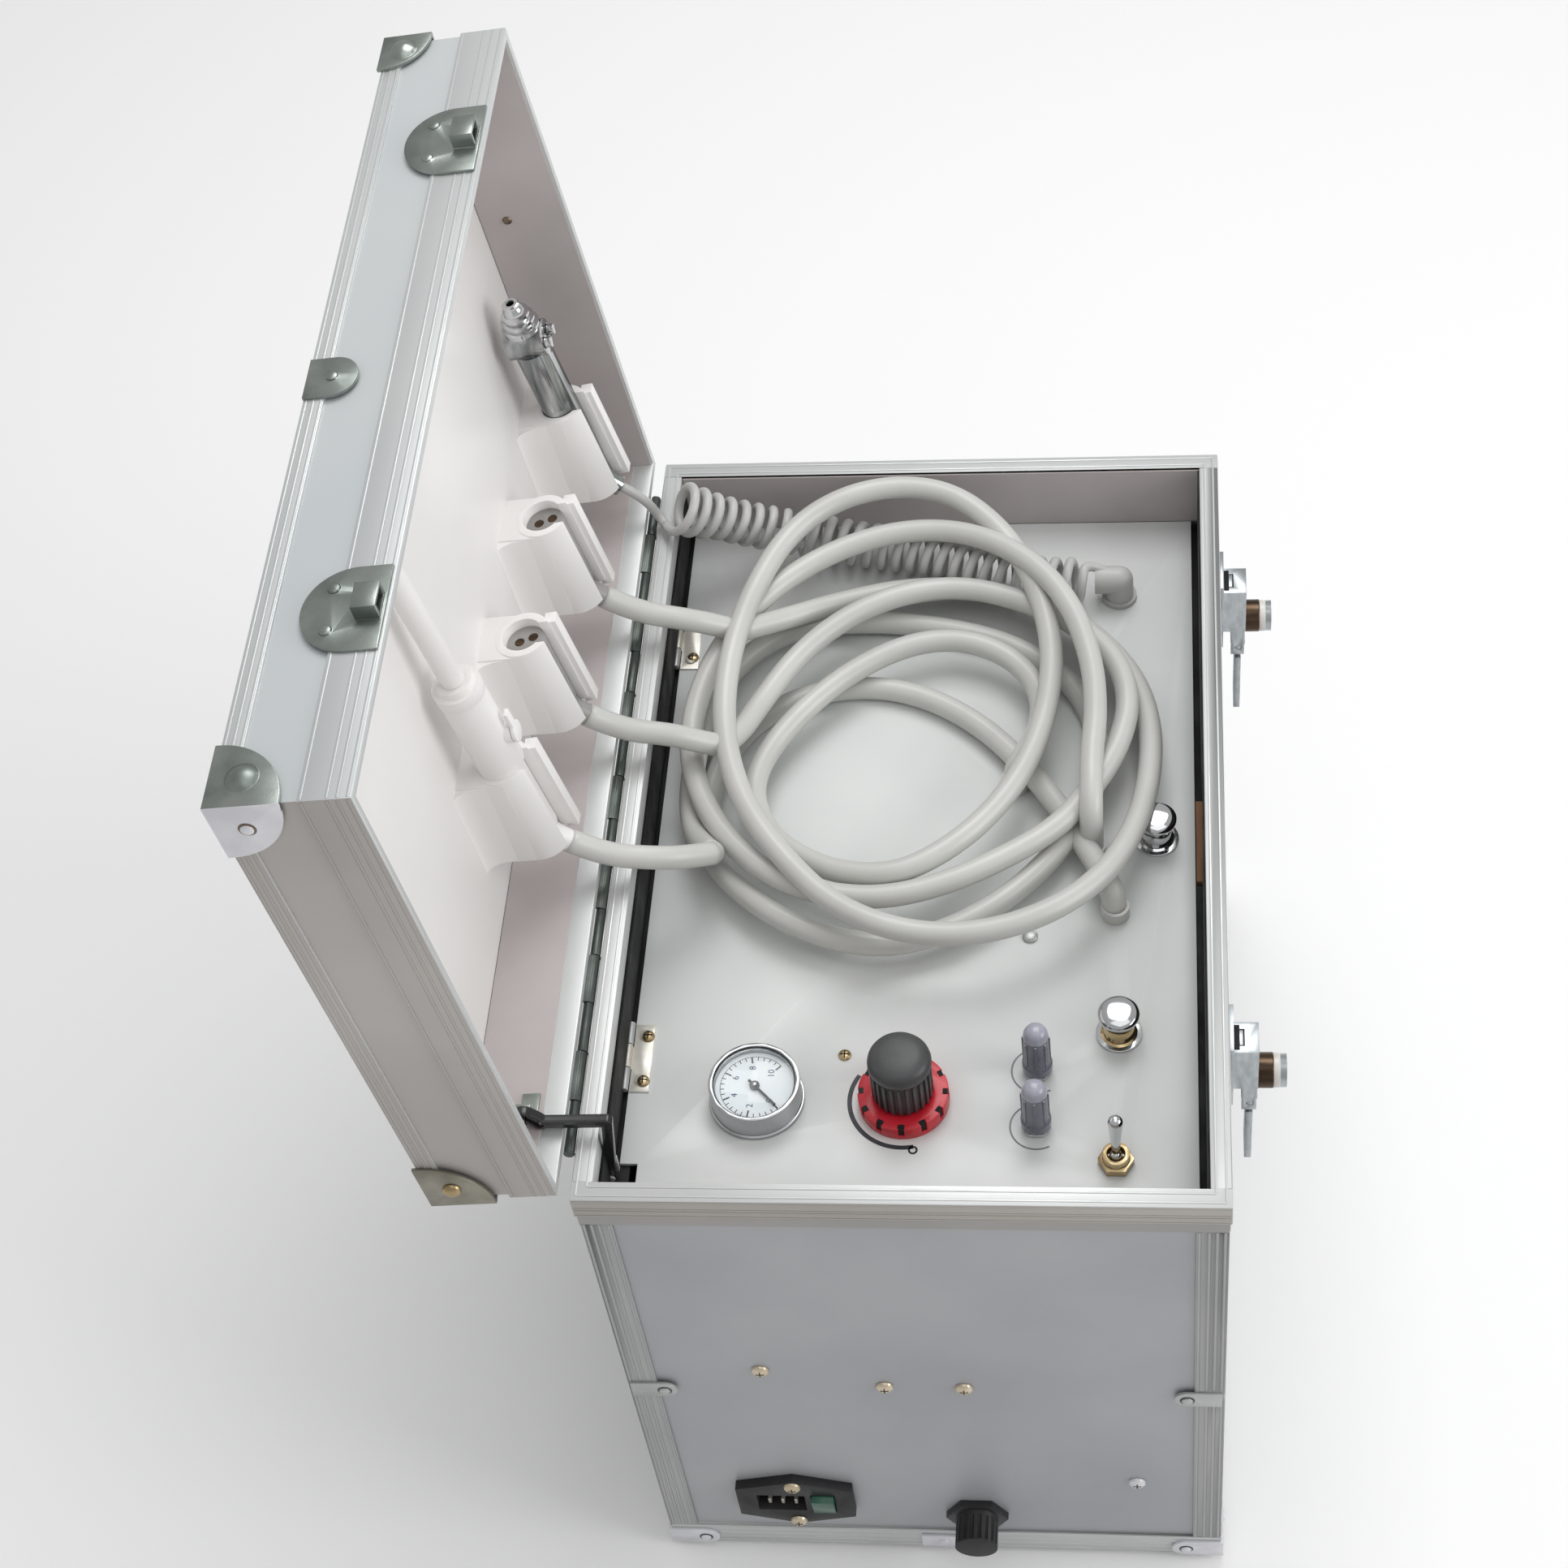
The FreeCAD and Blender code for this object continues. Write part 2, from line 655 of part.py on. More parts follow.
# the lid leaf is drawn about the closed lid, then turned about the hinge axis
leaf_local = hinge_side(1, hinge_z + leaf_gap, hinge_z + hinge_leaf_height,
                        hinge_z, hinge_z + leaf_gap + 1, left + lid_side_gap - hinge_leaf_gauge,
                        left - hinge_leaf_gauge - 0.3)
leaf_local_rivets = [screw("-x", rivet_radius, rivet_head, left + lid_side_gap - hinge_leaf_gauge,
                           rivet_start + index * rivet_step, hinge_z + 11) for index in range(5)]
leaf_home = rig(fuse(leaf_local, *leaf_local_rivets), -hinge_x, 0, -hinge_z)
node("hinge_lid_leaf", rig(leaf_home, hinge_x, 0, hinge_z, Y, -lid_open_angle.number))

# ---------------------------------------------------------------- lid shell


def lid_ring(inset, gauge, z0, z1):
    return ring(inset, gauge, z0, z1, sized(0), lid_width, sized(0), lid_length)


lid_inner_top = lid_depth - lid_flange_gauge
lid_frame = group(lid_ring(0, lid_wall, 0, lid_rim_profile),
                  fuse(lid_ring(0, lid_wall, lid_depth - lid_edge_profile, lid_depth),
                       lid_ring(0, lid_flange, lid_inner_top, lid_depth)))
lid_node("lid_frame", lid_frame)
skin_top = lid_inner_top
skin_bottom = lid_inner_top - lid_skin_gauge
lid_skin = group(lid_ring(lid_flat_recess, lid_wall - lid_flat_recess, lid_rim_profile,
                          lid_depth - lid_edge_profile),
                 box(lid_wall, lid_width - lid_wall, lid_wall, lid_length - lid_wall,
                     skin_bottom, skin_top))
lid_node("lid_skin", lid_skin)

# white board: front sheet with flanges back to the skin
board_low_s = lid_wall + board_margin
board_high_s = lid_width - lid_wall - board_margin
board_near = lid_wall + board_margin
board_far = lid_length - lid_wall - board_margin
board = fuse(box(board_low_s, board_high_s, board_near, board_far,
                 board_depth, board_depth + board_gauge),
             ring(0, board_flange, board_depth, skin_bottom,
                  board_low_s, board_high_s, board_near, board_far))
lid_node("holder_board", board)

# corner fittings, edge clips and the stay stud of the lid
lid_cap_near_round = size("lid_cap_near_round", 28)
lid_cap_far_round = size("lid_cap_far_round", 21)
lid_cap_back_margin = size("lid_cap_back_margin", 6)
lid_cap_ball = size("lid_cap_ball", 9)
lid_cap_ball_rise = size("lid_cap_ball_rise", 3)
lid_clip_width = size("lid_clip_width", 22)
lid_clip_depth = size("lid_clip_depth", 33)
lid_clip_y = size("lid_clip_y", 206)
lid_fittings = []
lid_back = lid_depth + corner_cap_gauge
for side_y, inward, out, lid_cap_round in ((sized(0), 1, "-y", lid_cap_near_round),
                                           (lid_length, -1, "y", lid_cap_far_round)):
    lid_cap_back = lid_cap_round - lid_cap_back_margin
    lid_cap_depth = lid_depth - lid_cap_round
    for side_s, along in ((sized(0), 1), (lid_width, -1)):
        skin = side_y - inward * corner_cap_gauge
        end_skin = side_s - along * corner_cap_gauge
        plate_low, plate_high = span(skin, side_y)
        plate = common(box(*span(end_skin, side_s + along * lid_cap_round), plate_low, plate_high,
                           lid_cap_depth, lid_back),
                       rod("y", lid_cap_round, corner_cap_gauge, side_s, plate_low, lid_depth))
        end_low, end_high = span(end_skin, side_s)
        end = common(box(end_low, end_high, *span(skin, side_y + inward * lid_cap_round),
                         lid_cap_depth, lid_back),
                     rod("x", lid_cap_round, corner_cap_gauge, end_low, side_y, lid_depth))
        back = common(box(*span(end_skin, side_s + along * lid_cap_back),
                          *span(skin, side_y + inward * lid_cap_back), lid_depth, lid_back),
                      rod("z", lid_cap_back, corner_cap_gauge, side_s, side_y, lid_depth))
        bump_s = side_s + along * lid_cap_round * 0.42
        bump_y = side_y + inward * lid_cap_round * 0.42
        bump_depth = lid_depth - lid_cap_round * 0.42
        sunk = lid_cap_ball - lid_cap_ball_rise
        crown = common(ball(lid_cap_ball, end_skin + along * sunk, bump_y, bump_depth),
                       box(*span(end_skin - along * lid_cap_ball, side_s),
                           bump_y - lid_cap_ball, bump_y + lid_cap_ball,
                           bump_depth - lid_cap_ball, bump_depth + lid_cap_ball))
        rivet = screw(out, rivet_radius, rivet_head, bump_s, skin, bump_depth)
        lid_fittings.append(fuse(plate, end, back, crown, rivet))
clip_half = lid_clip_width / 2
clip_middle = lid_clip_y + clip_half
skin = lid_width + corner_cap_gauge
clip = fuse(box(lid_width, skin, lid_clip_y, lid_clip_y + lid_clip_width,
                lid_clip_depth + clip_half, lid_depth),
            rod("x", clip_half, corner_cap_gauge, lid_width, clip_middle,
                lid_clip_depth + clip_half),
            screw("x", rivet_radius, rivet_head, skin, clip_middle, lid_clip_depth + clip_half))
lid_fittings.append(clip)
stud_s = size("stay_stud_s", 13)
stud_depth = size("stay_stud_depth", 16)
stud_radius = size("stay_stud_radius", 1.4)
stay_y = size("stay_y", 33)
stay_gauge = size("stay_gauge", 4)
stay_near = case_y(stay_y) - stay_gauge / 2
stay_far = case_y(stay_y) + stay_gauge / 2
stud_plate_y = stay_far - lid_start_y + 0.6
stud_plate = box(lid_wall, stud_s + 3.5, stud_plate_y, stud_plate_y + 2, stud_depth - 4,
                 stud_depth + 4)
stud_foot = box(lid_wall, lid_wall + 2, stud_plate_y, stud_plate_y + 14, stud_depth - 4,
                stud_depth + 4)
stud_pin = rod("-y", stud_radius, stay_gauge + 1.6, stud_s, stud_plate_y + 0.5, stud_depth)
lid_fittings.append(fuse(stud_plate, stud_foot, stud_pin))
lid_node("lid_fittings", group(*lid_fittings))

# keepers for the latch bolts, on the free edge of the lid
catches = []
bolt_low = size("bolt_low", 10)
bolt_width = size("bolt_width", 8)
bolt_gauge = size("bolt_gauge", 2.4)
bolt_out = size("bolt_out", 4)
bolt_clearance = size("bolt_clearance", 0.6)
staple_wall = size("staple_wall", 2.4)
staple_from = size("staple_from", 2)
staple_height = size("staple_height", 10)
catch_face = lid_width + catch_gauge
for latch_y in (near_latch_y, far_latch_y):
    middle = case_y(latch_y) - lid_start_y
    catch_round = catch_width / 2
    round_depth = catch_margin + catch_height - catch_round
    plate = fuse(box(lid_width, catch_face, middle - catch_round, middle + catch_round,
                     catch_margin, round_depth),
                 common(rod("x", catch_round, catch_gauge, lid_width, middle, round_depth),
                        box(lid_width, catch_face, middle - catch_round, middle + catch_round,
                            catch_margin, catch_margin + catch_height)))
    staple_out = bolt_out + bolt_gauge + staple_wall
    staple_half = bolt_width / 2 + staple_wall
    staple = box(lid_width + 1, lid_width + staple_out, middle - staple_half,
                 middle + staple_half, staple_from, staple_from + staple_height)
    slot = box(catch_face + 0.8, lid_width + staple_out - 1.6,
               middle - bolt_width / 2 - bolt_clearance,
               middle + bolt_width / 2 + bolt_clearance, staple_from - 2,
               staple_from + staple_height + 2)
    rivets = [screw("x", rivet_radius, rivet_head, catch_face, middle + offset,
                    catch_margin + catch_rivet_depth)
              for offset in (-catch_width / 4, catch_width / 4)]
    catches.append(fuse(cut(fuse(plate, staple), slot), *rivets))
lid_node("latch_catches", group(*catches))

# ---------------------------------------------------------------- latches on the body

latch_nodes = {}
bases = []
latch_face = right
housing_out = size("housing_out", 13)
for name, latch_y in (("near", near_latch_y), ("far", far_latch_y)):
    middle = case_y(latch_y)
    plate_out = latch_face + latch_plate_gauge
    plate = box(latch_face, plate_out, middle - latch_plate_width / 2,
                middle + latch_plate_width / 2, below_rim(latch_top_drop + latch_plate_height),
                below_rim(latch_top_drop))
    housing = box(latch_face + 1, latch_face + housing_out, middle - lever_width / 2,
                  middle + lever_width / 2, below_rim(39), below_rim(10))
    ears_out = latch_face + 12.5
    ears = box(latch_face + 6, ears_out, middle - lever_width / 2, middle + lever_width / 2,
               below_rim(56), below_rim(38))
    ear_gap = box(latch_face + 5, ears_out + 1, middle - 5.4, middle + 5.4,
                  below_rim(57), below_rim(46))
    bolt_slot = box(latch_face + bolt_out - 0.4, latch_face + bolt_out + bolt_gauge + 0.4,
                    middle - bolt_width / 2 - 0.4, middle + bolt_width / 2 + 0.4,
                    below_rim(40), below_rim(9))
    barrel = rod("x", lock_barrel_radius, lock_barrel_length, latch_face + housing_out - 0.5,
                 middle, below_rim(36))
    lever_x = latch_face + 9.5
    lever_z = below_rim(51)
    pivot_bore = rod("y", lever_pin_radius + lever_pin_clearance, lever_width + 4, lever_x,
                     middle - lever_width / 2 - 2, lever_z)
    relief = rod("y", 4.2, 10.8, lever_x, middle - 5.4, lever_z)
    bases.append(cut(fuse(plate, housing, ears, barrel), ear_gap, bolt_slot, pivot_bore, relief))
    knuckle = rod("y", 3.6, 10, lever_x, middle - 5, lever_z)
    pivot = rod("y", lever_pin_radius, lever_width, lever_x, middle - lever_width / 2, lever_z)
    blade = box(lever_x - 1.6, lever_x + 1.6, middle - 5, middle + 5, below_rim(70), lever_z)
    paddle = box(lever_x - 1.6, lever_x + 1.6, middle - 7, middle + 7, below_rim(99),
                 below_rim(60))
    latch_nodes["latch_lever_" + name] = fuse(knuckle, pivot, blade, paddle)
    latch_nodes["latch_hook_" + name] = box(
        latch_face + bolt_out, latch_face + bolt_out + bolt_gauge, middle - bolt_width / 2,
        middle + bolt_width / 2, below_rim(38), below_rim(bolt_low))
node("latch_bases", group(*bases))
for name, piece in latch_nodes.items():
    node(name, piece)

# ---------------------------------------------------------------- cradles and instruments


def tool_frame(piece, index):
    """Local Z runs up the tool, local X points out of the lid; index 0 is the nearest cradle."""
    tilted = rig(piece, cradle_centre_s, cradle_first + cradle_pitch * index,
                 cradle_centre_depth, Y, 90 - cradle_tilt.number)
    return tilted


tool_radius = cradle_bore - tool_fit
tail_end = (size("tail_end_x", 9.5), size("tail_end_z", -57.5))
tail_from_z = size("tail_from_z", -44)
tail_start_z = size("tail_start_z", -46.5)
tail_drop = tail_end[1].number - tail_start_z.number
tail_length = math.hypot(tail_end[0].number, tail_drop)
tail_angle = math.degrees(math.atan2(tail_end[0].number, tail_drop))


def cradle(index):
    axis_y = cradle_first + cradle_pitch * index
    pod = box(32, 86.8, axis_y - cradle_radius, axis_y + cradle_radius, 20, board_depth)
    shell = tool_frame(rod("z", cradle_radius, cradle_height, 0, 0, cradle_above - cradle_height),
                       index)
    lip = tool_frame(box(9, cradle_radius + 1.4, 7, cradle_radius, -cradle_lip_below,
                         cradle_lip_above), index)
    bore = tool_frame(rod("z", cradle_bore, 120, 0, 0, -80), index)
    slot = tool_frame(box(0, 20, -cradle_slot / 2, cradle_slot / 2, -80, 30), index)
    stop = tool_frame(box(-cradle_bore - 1, -7, -3, 3, cradle_above - cradle_height + 2,
                          tail_from_z), index)
    return fuse(cut(fuse(pod, shell, lip), bore, slot), stop)


lid_node("instrument_holders", group(*[cradle(index) for index in range(cradle_count)]))


def tail(index):
    """The strain relief where the hose leaves the bottom of an instrument."""
    spigot = rod("z", 6.6, 6, 0, 0, tail_from_z - 5)
    relief = doc.addObject("Part::Cone", "relief")
    bind(relief, "Radius1", 5.9)
    bind(relief, "Radius2", hose_radius + 0.2)
    relief.Height = tail_length
    put(relief, 0, 0, tail_start_z, Y, tail_angle)
    return fuse(spigot, relief)


connectors = []
for index in (1, 2):
    plug = rod("z", tool_radius, -2 - tail_from_z, 0, 0, tail_from_z)
    ports = [rod("z", 2, 9, offset_x, offset_y, -8)
             for offset_x, offset_y in ((-3, 0), (3.4, 2))]
    connectors.append(tool_frame(cut(fuse(plug, tail(index)), *ports), index))
lid_node("hose_connectors", group(*connectors))

# suction handle in the nearest cradle: grip, collar, valve body and its removable tip
tip_radius = size("tip_radius", 5.5)
tip_seat = size("tip_seat", 46)
tip_top = size("tip_top", 150)
grip_radius = size("grip_radius", 10.8)
valve_z = size("suction_valve_z", 22)
valve_radius = size("suction_valve_radius", 5)
handle_collar_radius = size("handle_collar_radius", 11.2)
handle_collar_height = size("handle_collar_height", 6)
handle_collar_z = size("handle_collar_z", 51)
handle = fuse(rod("z", tool_radius, cradle_above - tail_from_z + 1, 0, 0, tail_from_z),
              rod("z", grip_radius, 45, 0, 0, cradle_above), taper("z", grip_radius, 8.4, 12, 0, 0, 48),
              rod("z", handle_collar_radius, handle_collar_height, 0, 0, handle_collar_z),
              rod("x", valve_radius, 7, 6, 0, valve_z), tail(0))
tip_bore = rod("z", tip_radius + 0.05, 30, 0, 0, tip_seat)
valve_bore = rod("x", 2.06, 9, 5, 0, valve_z)
lid_node("suction_handle", tool_frame(cut(handle, tip_bore, valve_bore), 0))
tip_tube = cut(rod("z", tip_radius, tip_top - tip_seat, 0, 0, tip_seat),
               rod("z", tip_radius - 1.5, tip_top - tip_seat + 2, 0, 0, tip_seat - 1))
lid_node("suction_tip", tool_frame(tip_tube, 0))
valve_lever = fuse(rod("x", 2, 7, 6.5, 0, valve_z), rod("x", 5, 2, 13.3, 0, valve_z),
                   box(13.3, 15.3, -2.2, 2.2, valve_z, valve_z + 13))
lid_node("suction_valve", tool_frame(valve_lever, 0))

# three-way syringe in the farthest cradle: barrel, head, two buttons in their bores
syringe_barrel_radius = size("syringe_barrel_radius", 8.2)
syringe_barrel = fuse(rod("z", tool_radius, 42 - tail_from_z, 0, 0, tail_from_z),
                      rod("z", syringe_barrel_radius, 39, 0, 0, cradle_above),
                      rod("x", 8.6, 19, -9.6, 0, 47),
                      rod("z", 6, 20, 0, 0, 42), tail(3))
collet_bore_radius = size("collet_bore_radius", 2)
collet = cut(fuse(taper("z", 5, 3.6, 8, 0, 0, 62), rod("z", 5, 3, 0, 0, 60)),
             rod("z", collet_bore_radius, 12, 0, 0, 60))
button_radius = size("syringe_button_radius", 2.6)
button_bore = button_radius + 0.3
button_bores = [rod("x", button_bore, 6, 5, side, 47) for side in (-4.4, 4.4)]
button_stems = [rod("x", 1.06, 10, 0, side, 47) for side in (-4.4, 4.4)]
lid_node("syringe_body", tool_frame(fuse(cut(syringe_barrel, *button_bores, *button_stems,
                                             rod("z", 4.5, 30, 0, 0, 58)), collet), 3))
for name, side in (("syringe_air_button", -4.4), ("syringe_water_button", 4.4)):
    lid_node(name, tool_frame(fuse(rod("x", button_radius, 5, 8, side, 47),
                                   rod("x", 1, 5, 3.5, side, 47)), 3))

# ---------------------------------------------------------------- carrying handle

handle_middle_y = lid_length / 2
handle_s = size("handle_from_hinge", 150)
mount_depth = skin_top
lug_foot_half = size("lug_foot_half", 12)
lug_foot_reach = size("lug_foot_reach", 9)
lug_foot_gauge = size("lug_foot_gauge", 2)
lug_half = size("lug_half", 5)
lug_gauge = size("lug_gauge", 7)
lug_height = size("lug_height", 12)
lug_pin_height = size("lug_pin_height", 7)
lugs = []
for sign in (-1, 1):
    lug_y = handle_middle_y + sign * handle_span / 2
    foot = box(handle_s - lug_foot_half, handle_s + lug_foot_half, lug_y - lug_foot_reach,
               lug_y + lug_foot_reach, mount_depth, mount_depth + lug_foot_gauge)
    lug = box(handle_s - lug_half, handle_s + lug_half, lug_y - lug_gauge / 2,
              lug_y + lug_gauge / 2, mount_depth + 1, mount_depth + lug_height)
    pin = rod("y", handle_pin_radius + 0.06, 2 * lug_foot_reach + 2, handle_s,
              lug_y - lug_foot_reach - 1, mount_depth + lug_pin_height)
    lugs.append(cut(fuse(foot, lug), pin))
lid_node("handle_mounts", group(*lugs))
arm_in = handle_span / 2 + lug_gauge / 2 + 0.4
arms = []
for sign in (-1, 1):
    arm_low = handle_middle_y + sign * arm_in
    arm_high = handle_middle_y + sign * (arm_in + arm_gauge)
    arm_start = arm_low if sign > 0 else arm_high
    arms.append(box(handle_s - handle_reach, handle_s, arm_start, arm_start + arm_gauge,
                    mount_depth + 2.6, mount_depth + 11.4))
    arms.append(rod("y", handle_eye_radius, arm_gauge, handle_s, arm_start,
                    mount_depth + lug_pin_height))
    pin_start = handle_middle_y + sign * (handle_span / 2 + 6)
    arms.append(rod("-y" if sign > 0 else "y", handle_pin_radius, 9.4, handle_s, pin_start,
                    mount_depth + lug_pin_height))
bar = box(handle_s - handle_reach - 8, handle_s - handle_reach + 4,
          handle_middle_y - arm_in - 5, handle_middle_y + arm_in + 5,
          mount_depth + 2.6, mount_depth + 13)
# the open lid leans back a little, so the folded handle hangs just clear of it
handle_home = rig(fuse(bar, *arms), -handle_s, 0, -(mount_depth + lug_pin_height))
handle_hang = lid_open_angle - 90
lid_node("carry_handle", rig(handle_home, handle_s, 0, mount_depth + lug_pin_height, Y,
                             handle_hang.number))

# ---------------------------------------------------------------- lid stay

pivot_x = case_x(size("stay_pivot_x", 10))
pivot_z = below_rim(size("stay_pivot_drop", 33))
elbow_x = case_x(size("stay_elbow_x", 14.5))
elbow_z = rim_top + size("stay_elbow_rise", 11)
turn = math.radians(lid_open_angle.number)
stud_open_x = lid_x.number + stud_s.number * math.cos(turn) - stud_depth.number * math.sin(turn)
stud_open_z = lid_z.number + stud_s.number * math.sin(turn) + stud_depth.number * math.cos(turn)
stay_turn = size("stay_turn", 34)
arm_half = size("stay_half_width", 2.3)


def stud_path():
    """The stud seen from the arm while the lid closes and the arm turns along with it."""
    path = []
    for step in range(33):
        closing = lid_open_angle.number * step / 32
        back = math.radians(closing)
        dx = stud_open_x - hinge_x.number
        dz = stud_open_z - hinge_z.number
        world_x = hinge_x.number + dx * math.cos(back) + dz * math.sin(back)
        world_z = hinge_z.number - dx * math.sin(back) + dz * math.cos(back)
        arm = math.radians(-stay_turn.number * step / 32)
        rx = world_x - pivot_x.number
        rz = world_z - pivot_z.number
        path.append((pivot_x.number + rx * math.cos(arm) + rz * math.sin(arm),
                     pivot_z.number - rx * math.sin(arm) + rz * math.cos(arm)))
    return path


track = stud_path()
track_x = [point[0] for point in track]
track_z = [point[1] for point in track]
print("stay slot x", round(min(track_x), 2), round(max(track_x), 2), "z", round(min(track_z), 2),
      round(max(track_z), 2), "open stud", round(stud_open_x, 2), round(stud_open_z, 2))
slot_half = stud_radius + 0.35
head_half = slot_half + 1.5
arm_y = case_y(stay_y) - stay_gauge / 2


def bar_between(x0, z0, x1, z1, half):
    """A flat bar with round ends, in the plane of the stay."""
    length = math.hypot(x1.number - x0.number, z1.number - z0.number)
    angle = math.degrees(math.atan2(x1.number - x0.number, z1.number - z0.number))
    blank = doc.addObject("Part::Box", "bar")
    blank.Height = length
    bind(blank, "Length", half * 2)
    bind(blank, "Width", stay_gauge)
    put(blank, -half, 0, 0)
    return [rig(blank, x0, arm_y, z0, Y, angle), rod("y", half, stay_gauge, x0, arm_y, z0),
            rod("y", half, stay_gauge, x1, arm_y, z1)]


def along_track(half, start_y, thickness):
    """A band that follows the stud's track, wide enough to hold or to clear it."""
    band = []
    for first, last in zip(track[:-1:4], track[4::4]):
        length = math.hypot(last[0] - first[0], last[1] - first[1])
        angle = math.degrees(math.atan2(last[0] - first[0], last[1] - first[1]))
        blank = doc.addObject("Part::Box", "band")
        blank.Height = length
        bind(blank, "Length", half * 2)
        bind(blank, "Width", thickness)
        put(blank, -half, 0, 0)
        band.append(rig(blank, first[0], start_y, first[1], Y, angle))
        band.append(rod("y", half, thickness, first[0], start_y, first[1]))
    band.append(rod("y", half, thickness, track[-1][0], start_y, track[-1][1]))
    return band


head = along_track(head_half, arm_y, stay_gauge)
head_window = fuse(*along_track(slot_half, arm_y - 1, stay_gauge + 2))
level_x = sized(max(track_x)) + 2
level_z = sized(track[track_x.index(max(track_x))][1])
stay = cut(fuse(*bar_between(pivot_x, pivot_z, elbow_x, elbow_z, arm_half),
                *bar_between(elbow_x, elbow_z, level_x, level_z, arm_half), *head),
           head_window, rod("y", 1.26, stay_gauge + 2, pivot_x, arm_y - 1, pivot_z))
node("lid_stay_arm", stay)

# ---------------------------------------------------------------- control panel

panel_near = near + panel_end_inset
panel_far = far - panel_end_inset
panel_bottom = panel_top - panel_gauge
places = {
    "gauge": (case_x(gauge_x), case_y(gauge_y), sized(19)),
    "regulator": (case_x(regulator_x), case_y(regulator_y), sized(11)),
    "flow_far": (case_x(flow_valve_x), case_y(far_flow_valve_y), sized(4.5)),
    "flow_near": (case_x(flow_valve_x), case_y(near_flow_valve_y), sized(4.5)),
    "toggle": (case_x(toggle_x), case_y(toggle_y), sized(6)),
    "button_near": (case_x(near_button_x), case_y(near_button_y), sized(5.5)),
    "button_far": (case_x(far_button_x), case_y(far_button_y), sized(5.5)),
}
plate = box(case_x(panel_left), case_x(panel_right), panel_near, panel_far, panel_bottom, panel_top)
ferrule_stem = size("ferrule_stem", 4.2)
ferrules_at = ((case_x(230), case_y(177)), (case_x(219), case_y(212)),
               (case_x(182), case_y(252)))
holes = [rod("z", radius + cutout_clearance, panel_gauge + 4, x, y, panel_bottom - 2)
         for x, y, radius in places.values()]
holes += [rod("z", ferrule_stem + cutout_clearance, panel_gauge + 4, x, y, panel_bottom - 2)
          for x, y in ferrules_at]
notch = box(case_x(panel_left) - 1, case_x(panel_left) + 8, case_y(stay_y) - 8,
            case_y(stay_y) + 8, panel_bottom - 1, panel_top + 1)
node("control_panel", cut(plate, *holes, notch))

node("panel_ledges", group(
    box(inner_left, inner_left + ledge_left_width, panel_near, panel_far,
        panel_bottom - ledge_gap - ledge_height, panel_bottom - ledge_gap),
    box(inner_right - ledge_right_width, inner_right, panel_near, panel_far,
        panel_bottom - ledge_gap - ledge_height, panel_bottom - ledge_gap)))

panel_leaves = []
brackets = []
for middle in (near_panel_hinge, far_panel_hinge):
    centre = case_y(middle)
    third = panel_hinge_length / 3
    leaf = box(panel_hinge_x, panel_hinge_x + panel_hinge_leaf, centre - panel_hinge_length / 2,
               centre + panel_hinge_length / 2, panel_top, panel_top + 0.8)
    outer_clear = [box(panel_hinge_x - 3, panel_hinge_x + panel_knuckle_radius + 0.4,
                       centre - panel_hinge_length / 2 - 1, centre - third / 2 + 0.01,
                       panel_top - 0.5, panel_top + 3),
                   box(panel_hinge_x - 3, panel_hinge_x + panel_knuckle_radius + 0.4,
                       centre + third / 2 - 0.01, centre + panel_hinge_length / 2 + 1,
                       panel_top - 0.5, panel_top + 3)]
    middle_knuckle = rod("y", panel_knuckle_radius, third, panel_hinge_x, centre - third / 2,
                         panel_hinge_z)
    bore = rod("y", panel_pin_radius + 0.06, third + 4, panel_hinge_x, centre - third / 2 - 2,
               panel_hinge_z)
    heads = [screw("z", 2.8, 1.2, panel_hinge_x + 7, centre + offset, panel_top + 0.8)
             for offset in (-12, 12)]
    panel_leaves.append(fuse(cut(fuse(cut(leaf, *outer_clear), middle_knuckle), bore), *heads))
    wall_leaf = box(inner_left, inner_left + 1.2, centre - panel_hinge_length / 2,
                    centre + panel_hinge_length / 2, panel_hinge_z, panel_hinge_z + 9)
    wall_clear = box(inner_left - 1, inner_left + 3, centre - third / 2 - 0.5,
                     centre + third / 2 + 0.5, panel_hinge_z - 1, panel_hinge_z + 2.4)
    outer = [rod("y", panel_knuckle_radius, third - 0.5, panel_hinge_x,
                 centre - panel_hinge_length / 2, panel_hinge_z),
             rod("y", panel_knuckle_radius, third - 0.5, panel_hinge_x, centre + third / 2 + 0.5,
                 panel_hinge_z)]
    pin = rod("y", panel_pin_radius, panel_hinge_length, panel_hinge_x,
              centre - panel_hinge_length / 2, panel_hinge_z)
    brackets.append(fuse(cut(wall_leaf, wall_clear), *outer, pin))
pivot_plate = box(inner_left, pivot_x + 3, stay_far + 0.6, stay_far + 2.6, pivot_z - 2.6,
                  pivot_z + 8)
pivot_foot = box(inner_left, inner_left + 1.2, stay_far + 0.6, stay_far + 12, pivot_z - 2.6,
                 pivot_z + 8)
pivot_pin = rod("-y", 1.2, stay_gauge + 1.8, pivot_x, stay_far + 1, pivot_z)
pivot_cap = rod("-y", 2, 0.8, pivot_x, stay_near - 0.4, pivot_z)
brackets.append(fuse(pivot_plate, pivot_foot, pivot_pin, pivot_cap))
node("case_brackets", group(*brackets))
panel_leaves.append(screw("z", 3.6, 2, case_x(panel_screw_x), case_y(panel_screw_y), panel_top))

